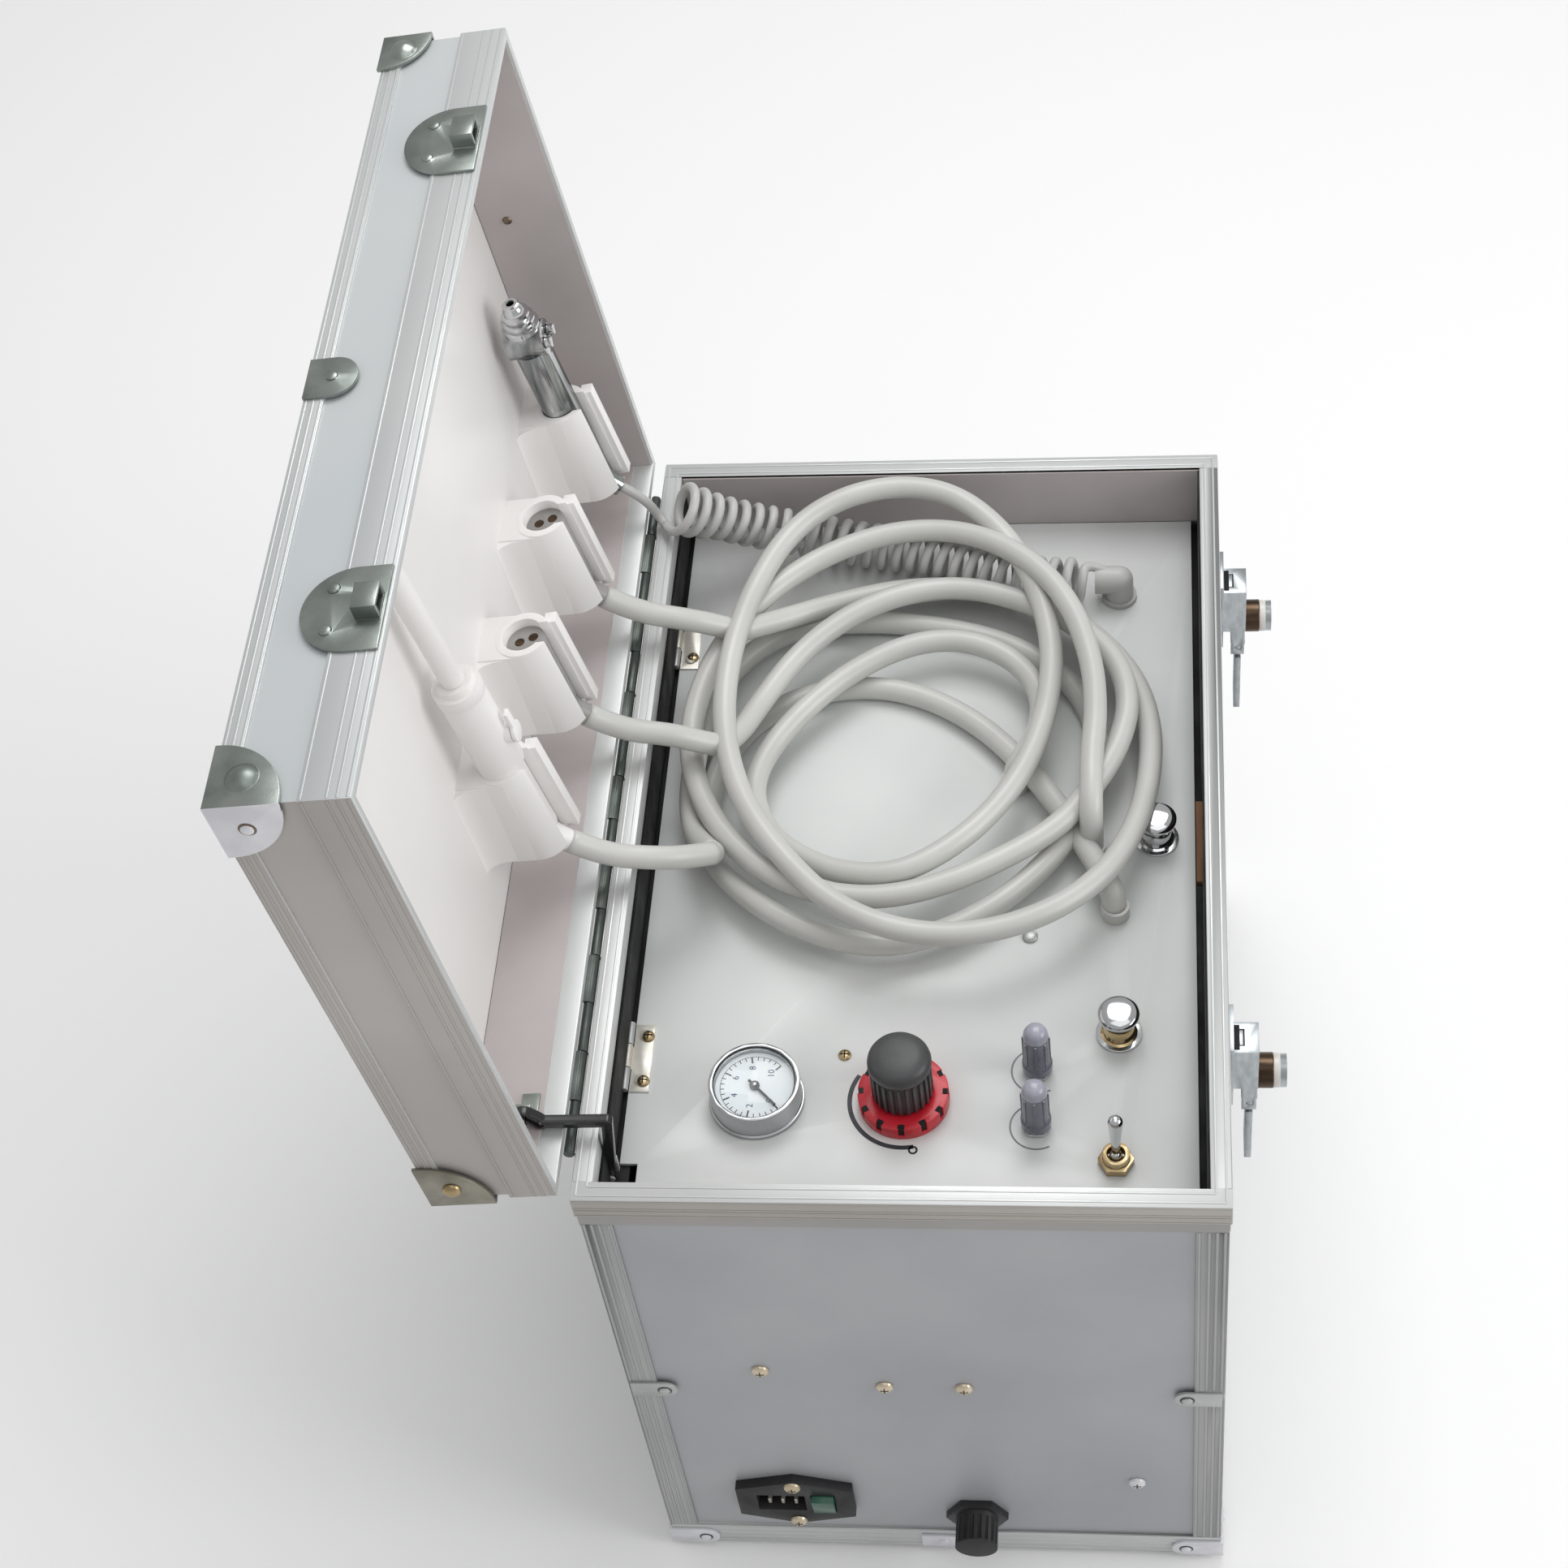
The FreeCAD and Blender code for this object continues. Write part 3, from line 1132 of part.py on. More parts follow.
# pressure gauge: can through the panel, dial, needle and lens
gx, gy, gr = places["gauge"]
gauge_top = panel_top + gauge_height
dial_z = gauge_top - 5
can = fuse(rod("z", gauge_radius + 1, 2, gx, gy, panel_top),
           rod("z", gauge_radius, gauge_height, gx, gy, panel_top),
           rod("z", gr, 22, gx, gy, panel_top - 20), rod("z", 5, 10, gx, gy, panel_top - 30))
recess = rod("z", gauge_radius - 2.9, 10, gx, gy, dial_z)
lens_seat = rod("z", gauge_radius - 2, 10, gx, gy, gauge_top - 2)
post = rod("z", 0.9, 3, gx, gy, dial_z - 0.2)
node("pressure_gauge", fuse(cut(can, recess, lens_seat), post))
needle_hub = size("needle_hub", 2.2)
needle_tip = size("needle_tip", 13.5)
needle_tail = size("needle_tail", 4)
needle_half = size("needle_half_width", 0.5)
needle_zero = size("needle_zero_angle", -135)
needle = fuse(rod("z", needle_hub, 0.8, 0, 0, 0),
              box(-needle_half, needle_half, -needle_tail, needle_tip, 0, 0.5))
needle_home = cut(needle, rod("z", 0.96, 4, 0, 0, -1))
node("gauge_needle", rig(needle_home, gx, gy, dial_z + 1, Z, needle_zero.number))
node("gauge_lens", rod("z", gauge_radius - 2.3, 1.2, gx, gy, gauge_top - 2))

# regulator: red lock ring, knob over a stem, body below the panel
rx, ry, rr = places["regulator"]
lock_ring = rod("z", lock_ring_radius, lock_ring_height, rx, ry, panel_top)
ring_teeth = []
for index in range(12):
    tooth = box(lock_ring_radius - 2.2, lock_ring_radius + 2, -1.3, 1.3, 2.5,
                lock_ring_height + 1)
    ring_teeth.append(rig(tooth, rx, ry, panel_top, Z, index * 30))
node("regulator_ring", cut(lock_ring, *ring_teeth,
                           rod("z", 11.3, lock_ring_height + 2, rx, ry, panel_top - 1)))
knob_bottom = panel_top + lock_ring_height + 0.5
knob_top = panel_top + regulator_knob_top
knob = fuse(rod("z", regulator_knob_radius, 13, rx, ry, knob_bottom),
            rod("z", regulator_knob_radius - 1.2, knob_top - knob_bottom, rx, ry, knob_bottom))
flutes = []
for index in range(24):
    flute = rod("z", 0.7, 12, regulator_knob_radius + 0.1, 0, 1)
    flutes.append(rig(flute, rx, ry, knob_bottom, Z, index * 15))
node("regulator_knob", cut(knob, *flutes, rod("z", 4.06, 21, rx, ry, knob_bottom - 1)))

# bodies of the valves, clamped in the panel by their nuts
bodies = [fuse(rod("z", rr, 12, rx, ry, panel_bottom - 4), rod("z", 20, 32, rx, ry,
                                                              panel_bottom - 32),
               rod("z", 4, 26, rx, ry, panel_top))]
for name in ("flow_far", "flow_near"):
    fx, fy, fr = places[name]
    bodies.append(fuse(hexagon("z", 6.6, 2.4, fx, fy, panel_top),
                       rod("z", fr, 14, fx, fy, panel_bottom - 10),
                       rod("z", 8, 16, fx, fy, panel_bottom - 20),
                       rod("z", 2, 20, fx, fy, panel_top)))
tx, ty, tr = places["toggle"]
toggle_pivot_z = panel_top + 6
bodies.append(cut(fuse(hexagon("z", toggle_nut_radius, 4, tx, ty, panel_top),
                       rod("z", tr, 26, tx, ty, panel_bottom - 16),
                       rod("z", 9, 14, tx, ty, panel_bottom - 20)),
                  rod("z", 4, 12, tx, ty, panel_top + 1)))
for name in ("button_near", "button_far"):
    bx, by, br = places[name]
    bodies.append(cut(fuse(rod("z", 10.4, 1.4, bx, by, panel_top),
                           rod("z", br, 25, bx, by, panel_bottom - 12),
                           rod("z", 8.6, 18, bx, by, panel_bottom - 20)),
                      rod("z", 2.56, 22, bx, by, panel_top - 7)))
node("valve_bases", group(*bodies))
for name, place in (("flow_knob_far", "flow_far"), ("flow_knob_near", "flow_near")):
    fx, fy, fr = places[place]
    grip = fuse(rod("z", flow_knob_radius, flow_knob_top - 4, fx, fy, panel_top + 3.4),
                rod("z", flow_knob_radius + 0.9, 5, fx, fy, panel_top + 3.4))
    grooves = [rig(box(flow_knob_radius - 0.8, flow_knob_radius + 3, -0.6, 0.6, 7,
                       flow_knob_top), fx, fy, panel_top, Z, index * 45) for index in range(8)]
    node(name, cut(grip, *grooves, rod("z", 2.06, 18, fx, fy, panel_top + 2.6)))
lever = fuse(ball(3, 0, 0, 0), rod("x", toggle_pin_radius, toggle_pin_length,
                                  -toggle_pin_length / 2, 0, 0),
             taper("z", toggle_foot_radius, toggle_waist_radius, 8, 0, 0, 0),
             taper("z", toggle_waist_radius, toggle_bat_radius, toggle_lever_length - 8, 0, 0, 8),
             ball(toggle_bat_radius, 0, 0, toggle_lever_length))
node("toggle_lever", rig(lever, tx, ty, toggle_pivot_z, X, -toggle_lean.number))
for name, place in (("button_cap_near", "button_near"), ("button_cap_far", "button_far")):
    bx, by, br = places[place]
    bush_top = panel_bottom - 12 + 25
    crown_low = bush_top + button_travel + 0.6
    crown = fuse(rod("z", button_cap_radius, 2.6, bx, by, crown_low),
                 taper("z", button_cap_radius, button_cap_radius * 0.6, 1.8, bx, by,
                       crown_low + 2.6))
    node(name, fuse(crown, rod("z", 2.5, 15, bx, by, crown_low - 14)))

# ---------------------------------------------------------------- connector face parts

half_side = inlet_side_height / 2
half_peak = inlet_peak_height / 2
half_width = inlet_width / 2
flange_points = ((half_width, -half_side), (half_width, half_side), (0, half_peak),
                 (-half_width, half_side), (-half_width, -half_side), (0, -half_peak))
flange = prism("XZ_Plane", flange_points, inlet_flange)
flange_home = rig(flange, inlet_cx, near_outer, inlet_cz)
body_box = box(inlet_cx - inlet_body_width / 2, inlet_cx + inlet_body_width / 2,
               near_outer - 1, near_outer + inlet_body_depth,
               inlet_cz - inlet_body_height / 2, inlet_cz + inlet_body_height / 2)
front = near_outer - inlet_flange
iec_x0 = inlet_cx - 19
iec_x1 = inlet_cx + 5
iec_opening = box(iec_x0, iec_x1, front - 1, front + 16, inlet_cz - 8, inlet_cz + 8)
rocker_x = inlet_cx + 14
rocker_opening = box(rocker_x - 6, rocker_x + 6, front - 1, front + 12, inlet_cz - 9,
                     inlet_cz + 9)
rocker_bore = rod("x", 1.56, 18, rocker_x - 9, front + 5, inlet_cz)
inlet_screws = [screw("-y", 3.2, 1.6, inlet_cx, front, inlet_cz + sign * 20 * 0.94)
                for sign in (-1, 1)]
inlet = cut(fuse(flange_home, body_box), iec_opening, rocker_opening, rocker_bore)
pins = [box(inlet_cx - 7 + offset_x - 1, inlet_cx - 7 + offset_x + 1, front + 6, front + 17,
            inlet_cz + offset_z - 2, inlet_cz + offset_z + 2)
        for offset_x, offset_z in ((-7, -2), (0, 2.4), (7, -2))]
node("power_inlet", fuse(inlet, *pins, *inlet_screws))
rocker_axis_y = front + 5
rocker_tilt = size("rocker_tilt", 8)
rocker = rig(fuse(box(-5.6, 5.6, -7, 4, -8.2, 8.2), rod("x", 1.5, 16, -8, 0, 0)),
             rocker_x, rocker_axis_y, inlet_cz, X, rocker_tilt.number)
node("power_rocker", rocker)

socket = cut(fuse(rod("y", socket_thread, 30, socket_cx, near_outer - 6, socket_cz),
                  hexagon("-y", socket_nut_radius, 3.5, socket_cx, near_outer, socket_cz),
                  rod("-y", socket_cap_radius, 16, socket_cx, near_outer - 3, socket_cz)),
             *[rig(rod("-y", 0.8, 12, socket_cap_radius + 0.2, 0, 0), socket_cx,
                   near_outer - 6, socket_cz, Y, index * 20) for index in range(18)])
node("foot_control_socket", socket)
node("front_screws", group(*[screw("-y", 3.4, 1.8, case_x(sx), near_outer, below_rim(drop))
                             for sx, drop in ((65, 158), (122, 172), (159, 172), (238, 268))]))

# ---------------------------------------------------------------- inside, below the panel

tank_radius = size("tank_radius", 48)
tank_length = size("tank_length", 290)
tank_from_left = size("tank_from_left", 70)
tank_from_near = size("tank_from_near", 66)
tank_floor_gap = size("tank_floor_gap", 8)
tank_shoulder = size("tank_shoulder", 15)
tank_end_drop = size("tank_end_drop", 12)
tank_wall = size("tank_wall", 2.5)
tank_end_wall = size("tank_end_wall", 3)
tank_x = case_x(tank_from_left)
tank_y = case_y(tank_from_near)
tank_z = floor_top + tank_radius + tank_floor_gap
tank_top = tank_z + tank_radius
end_radius = tank_radius - tank_end_drop
tank = fuse(rod("y", tank_radius, tank_length - 2 * tank_shoulder, tank_x,
                tank_y + tank_shoulder, tank_z),
            taper("y", end_radius, tank_radius, tank_shoulder, tank_x, tank_y, tank_z),
            taper("-y", end_radius, tank_radius, tank_shoulder, tank_x, tank_y + tank_length,
                  tank_z))
foot_half = size("tank_foot_half", 34)
foot_gauge = size("tank_foot_gauge", 14)
foot_from_end = size("tank_foot_from_end", 40)
tank_feet = [box(tank_x - foot_half, tank_x + foot_half, foot_y, foot_y + foot_gauge, floor_top,
                 tank_z - tank_radius * 0.625)
             for foot_y in (tank_y + foot_from_end,
                            tank_y + tank_length - foot_from_end - foot_gauge)]
saddle_half = size("saddle_half", 30)
saddle_from = size("saddle_from_tank_end", 70)
saddle_length = size("saddle_length", 120)
saddle_gauge = size("saddle_gauge", 6)
sunk = size("saddle_sunk", 1)
saddle = box(tank_x - saddle_half, tank_x + saddle_half, tank_y + saddle_from,
             tank_y + saddle_from + saddle_length, tank_top - sunk, tank_top + saddle_gauge)
motor_radius = size("motor_radius", 33)
motor_length = size("motor_length", 110)
motor_sunk = size("motor_sunk", 3)
motor = rod("y", motor_radius, motor_length, tank_x, tank_y + saddle_from + 5,
            tank_top + saddle_gauge + motor_radius - motor_sunk)
block_half = size("block_half", 24)
block_length = size("block_length", 50)
block_height = size("block_height", 78)
block_from = size("block_from_tank_end", 175)
fin_reach = size("fin_reach", 4)
fin_gauge = size("fin_gauge", 3)
fin_step = size("fin_step", 7)
fins_from = size("fins_from", 46)
block_y = tank_y + block_from
cylinder_block = box(tank_x - block_half, tank_x + block_half, block_y, block_y + block_length,
                     tank_top - sunk, tank_top + block_height)
block_fins = []
for index in range(4):
    fin_z = tank_top + fins_from + index * fin_step
    block_fins.append(box(tank_x - block_half - fin_reach, tank_x + block_half + fin_reach,
                          block_y - fin_reach, block_y + block_length + fin_reach,
                          fin_z, fin_z + fin_gauge))
room_inset = tank_shoulder + tank_end_wall
tank_room = rod("y", tank_radius - tank_wall, tank_length - 2 * room_inset, tank_x,
                tank_y + room_inset, tank_z)
node("compressor", fuse(cut(tank, tank_room), *tank_feet, saddle, motor, cylinder_block,
                        *block_fins))
bottle_radius = size("bottle_radius", 38)
bottle_height = size("bottle_height", 175)
bottle_shoulder = size("bottle_shoulder", 18)
bottle_neck = size("bottle_neck_radius", 14)
bottle_cap_radius = size("bottle_cap_radius", 17)
bottle_cap_height = size("bottle_cap_height", 20)
bottle_wall_gap = size("bottle_wall_gap", 19.4)
bottles_from_near = size("bottles_from_near", 150)
bottle_step = size("bottle_step", 100)
bottle_x = inner_right - bottle_wall_gap - bottle_radius
bottle_top = floor_top + bottle_height
bottles = []
for index in range(2):
    bottle_y = case_y(bottles_from_near) + index * bottle_step
    bottles.append(fuse(rod("z", bottle_radius, bottle_height, bottle_x, bottle_y, floor_top),
                        taper("z", bottle_radius, bottle_neck, bottle_shoulder, bottle_x,
                              bottle_y, bottle_top),
                        rod("z", bottle_cap_radius, bottle_cap_height, bottle_x, bottle_y,
                            bottle_top + bottle_shoulder - 1)))
node("water_bottles", group(*bottles))
manifold_wall_gap = size("manifold_wall_gap", 22.4)
manifold_length = size("manifold_length", 100)
manifold_depth = size("manifold_depth", 30)
manifold_drop = size("manifold_drop", 122)
manifold_height = size("manifold_height", 28)
nipple_radius = size("nipple_radius", 3)
nipple_height = size("nipple_height", 12)
nipple_step = size("nipple_step", 19)
manifold_top = below_rim(manifold_drop)
manifold_x = inner_right - manifold_wall_gap - manifold_length
nipples = [rod("z", nipple_radius, nipple_height,
               manifold_x + nipple_height + index * nipple_step,
               inner_near + manifold_depth / 2 + 1, manifold_top - 1) for index in range(5)]
manifold = fuse(box(manifold_x, manifold_x + manifold_length, inner_near,
                    inner_near + manifold_depth, manifold_top - manifold_height, manifold_top),
                *nipples)
node("valve_manifold", manifold)

# ---------------------------------------------------------------- hoses and the curly cord


def tool_point(index, x_out, z_up):
    """Where a point of an instrument is, with the lid open."""
    tilt = math.radians(90 - cradle_tilt.number)
    s = cradle_centre_s.number + x_out * math.cos(tilt) + z_up * math.sin(tilt)
    depth = cradle_centre_depth.number - x_out * math.sin(tilt) + z_up * math.cos(tilt)
    y = lid_start_y.number + cradle_first.number + cradle_pitch.number * index
    return FreeCAD.Vector(lid_x.number + s * math.cos(turn) - depth * math.sin(turn), y,
                          lid_z.number + s * math.sin(turn) + depth * math.cos(turn))


def place(x, y, z):
    """A point measured from the near hinge-side corner of the rim."""
    return FreeCAD.Vector(left.number + x, near.number + y, rim_top.number + z)


def cord_tube(label, radius, points):
    """A tube along straight runs joined by tangent arcs, checked against its own length."""
    edges = []
    start = points[0]
    radii = []
    for before, corner, after in zip(points, points[1:], points[2:]):
        to_before = (before - corner).normalize()
        to_after = (after - corner).normalize()
        half = (math.pi - to_before.getAngle(to_after)) / 2
        trim = 0.45 * min((before - corner).Length, (after - corner).Length)
        bend = trim / math.tan(half)
        radii.append(round(bend, 1))
        entry = corner + to_before * trim
        leave = corner + to_after * trim
        bisector = (to_before + to_after).normalize()
        centre = corner + bisector * (bend / math.cos(half))
        middle = centre - bisector * bend
        edges.append(Part.LineSegment(start, entry).toShape())
        edges.append(Part.Arc(entry, middle, leave).toShape())
        start = leave
    edges.append(Part.LineSegment(start, points[-1]).toShape())
    spine = Part.Wire(edges)
    along = (points[1] - points[0]).normalize()
    section = Part.Wire([Part.makeCircle(radius, points[0], along)])
    tube = spine.makePipeShell([section], True, False)
    expected = math.pi * radius ** 2 * spine.Length
    print(label, "radii", radii, "length", round(spine.Length, 1), "volume ratio",
          round(tube.Volume / expected, 4))
    if abs(tube.Volume / expected - 1) > 0.01:
        raise ValueError(label + " is not a clean tube")
    thing = doc.addObject("Part::Feature", label)
    thing.Shape = tube
    return thing


exits = [tool_point(index, tail_end[0].number, tail_end[1].number) for index in range(4)]
leaving = (tool_point(0, 2 * tail_end[0].number, 2 * tail_end[1].number - tail_start_z.number)
           - exits[0]).normalize()
print("hose exits", [tuple(round(c, 2) for c in p) for p in exits], "direction",
      tuple(round(c, 3) for c in leaving))


def lead_out(index, reach):
    return exits[index] + leaving * reach


hose_paths = {
    "hose_run_1": [exits[2], lead_out(2, 19), place(22, 318, 11), place(44, 322, -3)],
    "hose_run_2": [exits[1], lead_out(1, 19), place(22, 246, 11), place(42, 250, -3)],
    "hose_run_3": [exits[0], lead_out(0, 19), place(28, 177, 8), place(50, 190, -8)],
}
for name, points in hose_paths.items():
    node(name, cord_tube(name + "_tube", hose_radius.number, points))

curly_points = [place(12, 388, 14.5), place(38, 396, -4), place(66, 400, -17),
                place(96, 399, -24.5), place(128, 393, -25), place(158, 382, -25),
                place(188, 372, -25), place(219, 372, -25)]
node("curly_cord", cord_tube("curly_cord_tube", curly_radius.number, curly_points))
curly_start = (curly_points[1] - curly_points[0]).normalize()
node("curly_cord_lead", cord_tube("curly_cord_lead_tube", curly_lead_radius.number,
                                  [exits[3], lead_out(3, 13),
                                   curly_points[0] - curly_start * 9, curly_points[0]]))

# coil of three hoses lying on the panel


def oval(x, y, z, half_x, half_y):
    loop = doc.addObject("Part::Ellipse", "oval")
    bind(loop, "MajorRadius", max(half_x, half_y))
    bind(loop, "MinorRadius", min(half_x, half_y))
    return put(loop, case_x(x), case_y(y), rim_top + z, Z, 0 if half_x > half_y else 90)


def lofted(sections):
    skin_of = doc.addObject("Part::Loft", "loft")
    skin_of.Sections = list(sections)
    skin_of.Solid = True
    skin_of.Ruled = True
    return skin_of


coil_outside = lofted([oval(127, 270, -37.6, 100, 126), oval(127, 270, -25, 108, 135),
                       oval(127, 270, -10, 106, 133), oval(127, 270, 1.6, 90, 116)])
coil_inside = lofted([oval(121, 223, -39, 58, 50), oval(121, 223, -24, 58, 50),
                      oval(121, 223, -8, 60, 52), oval(121, 223, 3, 72, 62)])
curly_room = cord_tube("curly_room", curly_radius.number + 0.8, curly_points)
coil_rooms = [rod("z", 7, 60, case_x(panel_screw_x), case_y(panel_screw_y), panel_top - 2),
              box(case_x(0), case_x(21), near, far, panel_top - 1, rim_top + 4)]
tails = [[place(200, 222, -20), place(222, 196, -18), place(230, 177, -31)],
         [place(196, 236, -22), place(214, 220, -20), place(219, 212, -31)]]
hose_ends = []
ferrules = []
for index, points in enumerate(tails):
    hose_ends.append(cord_tube(f"hose_end_{index}", hose_radius.number, points))
coil_rooms += [rod("z", 7.2, 8, x, y, panel_top - 0.6) for x, y in ferrules_at]
node("hose_coil", fuse(cut(coil_outside, coil_inside, curly_room, *coil_rooms), *hose_ends))
for x, y in ferrules_at:
    ferrules.append(cut(fuse(rod("z", 6.6, 7, x, y, panel_top),
                             rod("z", ferrule_stem, 12, x, y, panel_bottom - 10)),
                        rod("z", 2.4, 30, x, y, panel_bottom - 12)))
curly_end = curly_points[-1]
elbow = fuse(rod("x", 7, 12, curly_end.x, curly_end.y, curly_end.z),
             ball(7, curly_end.x + 12, curly_end.y, curly_end.z),
             rod("z", 7, 12, curly_end.x + 12, curly_end.y, panel_top),
             rod("z", 8.6, 2.4, curly_end.x + 12, curly_end.y, panel_top))
node("panel_hardware", group(*panel_leaves, *ferrules, elbow))

# ---------------------------------------------------------------- checks and export

doc.recompute()
broken = []
for thing in doc.Objects:
    if "Invalid" in thing.State or "Error" in thing.State:
        broken.append(thing.Name + " " + thing.Label)
if broken:
    raise ValueError("objects that did not build: " + ", ".join(broken[:12]))
os.makedirs("parts", exist_ok=True)
total = FreeCAD.BoundBox()
for name, thing in NODES.items():
    shape = thing.Shape
    if shape.isNull() or not shape.isValid() or not shape.Solids:
        raise ValueError(name + " is not a sound solid")
    total.add(shape.BoundBox)
    shape.exportStep(os.path.join("parts", name + ".step"))
print(len(NODES), "nodes; box", [round(v, 1) for v in (total.XMin, total.XMax, total.YMin,
                                                      total.YMax, total.ZMin, total.ZMax)])
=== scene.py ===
import json
import math

import bmesh
import bpy
from mathutils import Matrix, Vector


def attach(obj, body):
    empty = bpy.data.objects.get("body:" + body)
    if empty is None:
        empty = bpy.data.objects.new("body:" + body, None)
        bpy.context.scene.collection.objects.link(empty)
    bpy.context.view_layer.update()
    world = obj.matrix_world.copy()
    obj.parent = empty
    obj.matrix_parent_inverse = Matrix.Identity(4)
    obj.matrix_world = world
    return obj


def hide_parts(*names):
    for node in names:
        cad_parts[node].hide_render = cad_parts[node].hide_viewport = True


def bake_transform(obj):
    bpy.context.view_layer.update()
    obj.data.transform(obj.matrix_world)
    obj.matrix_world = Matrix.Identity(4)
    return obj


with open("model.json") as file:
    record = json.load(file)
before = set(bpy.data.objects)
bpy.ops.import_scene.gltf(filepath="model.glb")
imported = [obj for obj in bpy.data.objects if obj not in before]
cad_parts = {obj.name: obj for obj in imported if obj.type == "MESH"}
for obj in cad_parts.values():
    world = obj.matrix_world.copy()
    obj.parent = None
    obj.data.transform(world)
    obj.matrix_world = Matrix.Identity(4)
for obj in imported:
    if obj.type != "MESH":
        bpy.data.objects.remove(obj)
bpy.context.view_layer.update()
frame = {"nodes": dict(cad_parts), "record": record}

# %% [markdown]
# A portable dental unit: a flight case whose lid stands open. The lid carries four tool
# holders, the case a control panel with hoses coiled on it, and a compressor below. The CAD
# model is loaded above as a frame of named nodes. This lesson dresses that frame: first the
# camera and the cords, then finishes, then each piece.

MM = 0.001
WHITE = (1, 1, 1, 1)

CASE_WIDTH, CASE_LENGTH = 280, 433
CASE_LEFT, CASE_NEAR, CASE_TOP = -140, -216.5, 350
LID_CORNER = Vector((-144.93, -215.5, 351.81))
LID_ANGLE = math.radians(96.14)
LID_UP = Vector((math.cos(LID_ANGLE), 0, math.sin(LID_ANGLE)))
LID_OUT = Vector((-math.sin(LID_ANGLE), 0, math.cos(LID_ANGLE)))
TOOL_LEAN = math.radians(85)
TOOL_UP = LID_UP * math.sin(TOOL_LEAN) + LID_OUT * math.cos(TOOL_LEAN)
TOOL_FRONT = LID_UP * math.cos(TOOL_LEAN) - LID_OUT * math.sin(TOOL_LEAN)
HOLDER_FIRST, HOLDER_STEP, HOLDER_S, HOLDER_DEPTH = 169.0, 73.5, 85, 22


def place(x, y, z):
    """A point measured from the rim's near left corner, in metres."""
    return Vector((CASE_LEFT + x, CASE_NEAR + y, CASE_TOP + z)) * MM


def on_lid(s, y, depth):
    """A point on the lid: s up from the hinge, y along it, depth away from the case."""
    return (LID_CORNER + LID_UP * s + Vector((0, y, 0)) + LID_OUT * depth) * MM


def at_tool(holder, out, up):
    """A point in a tool's middle plane: out towards the user, up the tool."""
    base = on_lid(HOLDER_S, HOLDER_FIRST + HOLDER_STEP * holder, HOLDER_DEPTH)
    return base + (TOOL_FRONT * out + TOOL_UP * up) * MM


def added(operator, **settings):
    """Add one primitive with nothing else selected, and return it."""
    bpy.ops.object.select_all(action="DESELECT")
    operator(**settings)
    return bpy.context.active_object


def bake_place():
    """Write the place, turn and size of the selected piece into its mesh."""
    bpy.ops.object.transform_apply(location=True, rotation=True, scale=True)


# %% [markdown]
# The camera stands in front of the connector face, high up, and looks down into the case.
# A point and two directions place it, which is easier to keep exact than angles.

# %% Camera
CAMERA_PLACE = Vector((0.1115, -0.8614, 1.4632))
CAMERA_FORWARD = Vector((-0.12326, 0.61082, -0.78211))
CAMERA_UP = Vector((0.00507, 0.78850, 0.61501))

camera_data = bpy.data.cameras.new("camera")
camera_data.lens = 69.81
camera_data.sensor_width = 36.0
camera = bpy.data.objects.new("camera", camera_data)
scene = bpy.context.scene
scene.collection.objects.link(camera)
camera_right = CAMERA_FORWARD.cross(CAMERA_UP).normalized()
turn = Matrix((camera_right, CAMERA_UP, -CAMERA_FORWARD)).transposed()
camera.matrix_world = Matrix.Translation(CAMERA_PLACE) @ turn.to_4x4()
scene.camera = camera
print("camera at", tuple(round(c, 3) for c in CAMERA_PLACE))

# %% [markdown]
# A studio: a large pale floor, a soft world light that the camera sees as plain white, and
# three area lamps. The lamps are large, so shadows have soft edges. Their strength is such
# that a colour renders about as it is written.

# %% Studio floor and light
FLOOR_SIZE, FLOOR_WHITE, FLOOR_ROUGHNESS = 8.0, 0.99, 0.8
SOFT_STRENGTH = 0.5

scene.view_settings.view_transform = "Standard"
floor = added(bpy.ops.mesh.primitive_plane_add, size=FLOOR_SIZE, location=(0, 0, 0))
floor.name = "studio_floor"
bake_place()

floor_paint = bpy.data.materials.new("studio_floor")
floor_paint.use_nodes = True
floor_shader = floor_paint.node_tree.nodes["Principled BSDF"]
floor_shader.inputs["Base Color"].default_value = (FLOOR_WHITE, FLOOR_WHITE, FLOOR_WHITE, 1)
floor_shader.inputs["Roughness"].default_value = FLOOR_ROUGHNESS
floor.data.materials.append(floor_paint)

world = bpy.data.worlds.new("studio")
scene.world = world
world.use_nodes = True
nodes, link = world.node_tree.nodes, world.node_tree.links.new
soft_light = nodes["Background"]
white_light = nodes.new("ShaderNodeBackground")
for light, strength in ((soft_light, SOFT_STRENGTH), (white_light, 1.0)):
    light.inputs["Color"].default_value = WHITE
    light.inputs["Strength"].default_value = strength
light_path = nodes.new("ShaderNodeLightPath")
sees_white = nodes.new("ShaderNodeMath")
sees_white.operation = "MAXIMUM"
world_mix = nodes.new("ShaderNodeMixShader")
link(light_path.outputs["Is Camera Ray"], sees_white.inputs[0])
link(light_path.outputs["Is Transmission Ray"], sees_white.inputs[1])
link(sees_white.outputs[0], world_mix.inputs[0])
link(soft_light.outputs[0], world_mix.inputs[1])
link(white_light.outputs[0], world_mix.inputs[2])
link(world_mix.outputs[0], nodes["World Output"].inputs["Surface"])


def lamp(name, spot, target, size, power):
    """A square area lamp at spot, facing target."""
    data = bpy.data.lights.new(name, "AREA")
    data.shape = "RECTANGLE"
    data.size = data.size_y = size
    data.energy = power
    lamp_object = bpy.data.objects.new(name, data)
    scene.collection.objects.link(lamp_object)
    aim = (Vector(target) - Vector(spot)).to_track_quat("-Z", "Y")
    lamp_object.matrix_world = Matrix.LocRotScale(Vector(spot), aim, None)


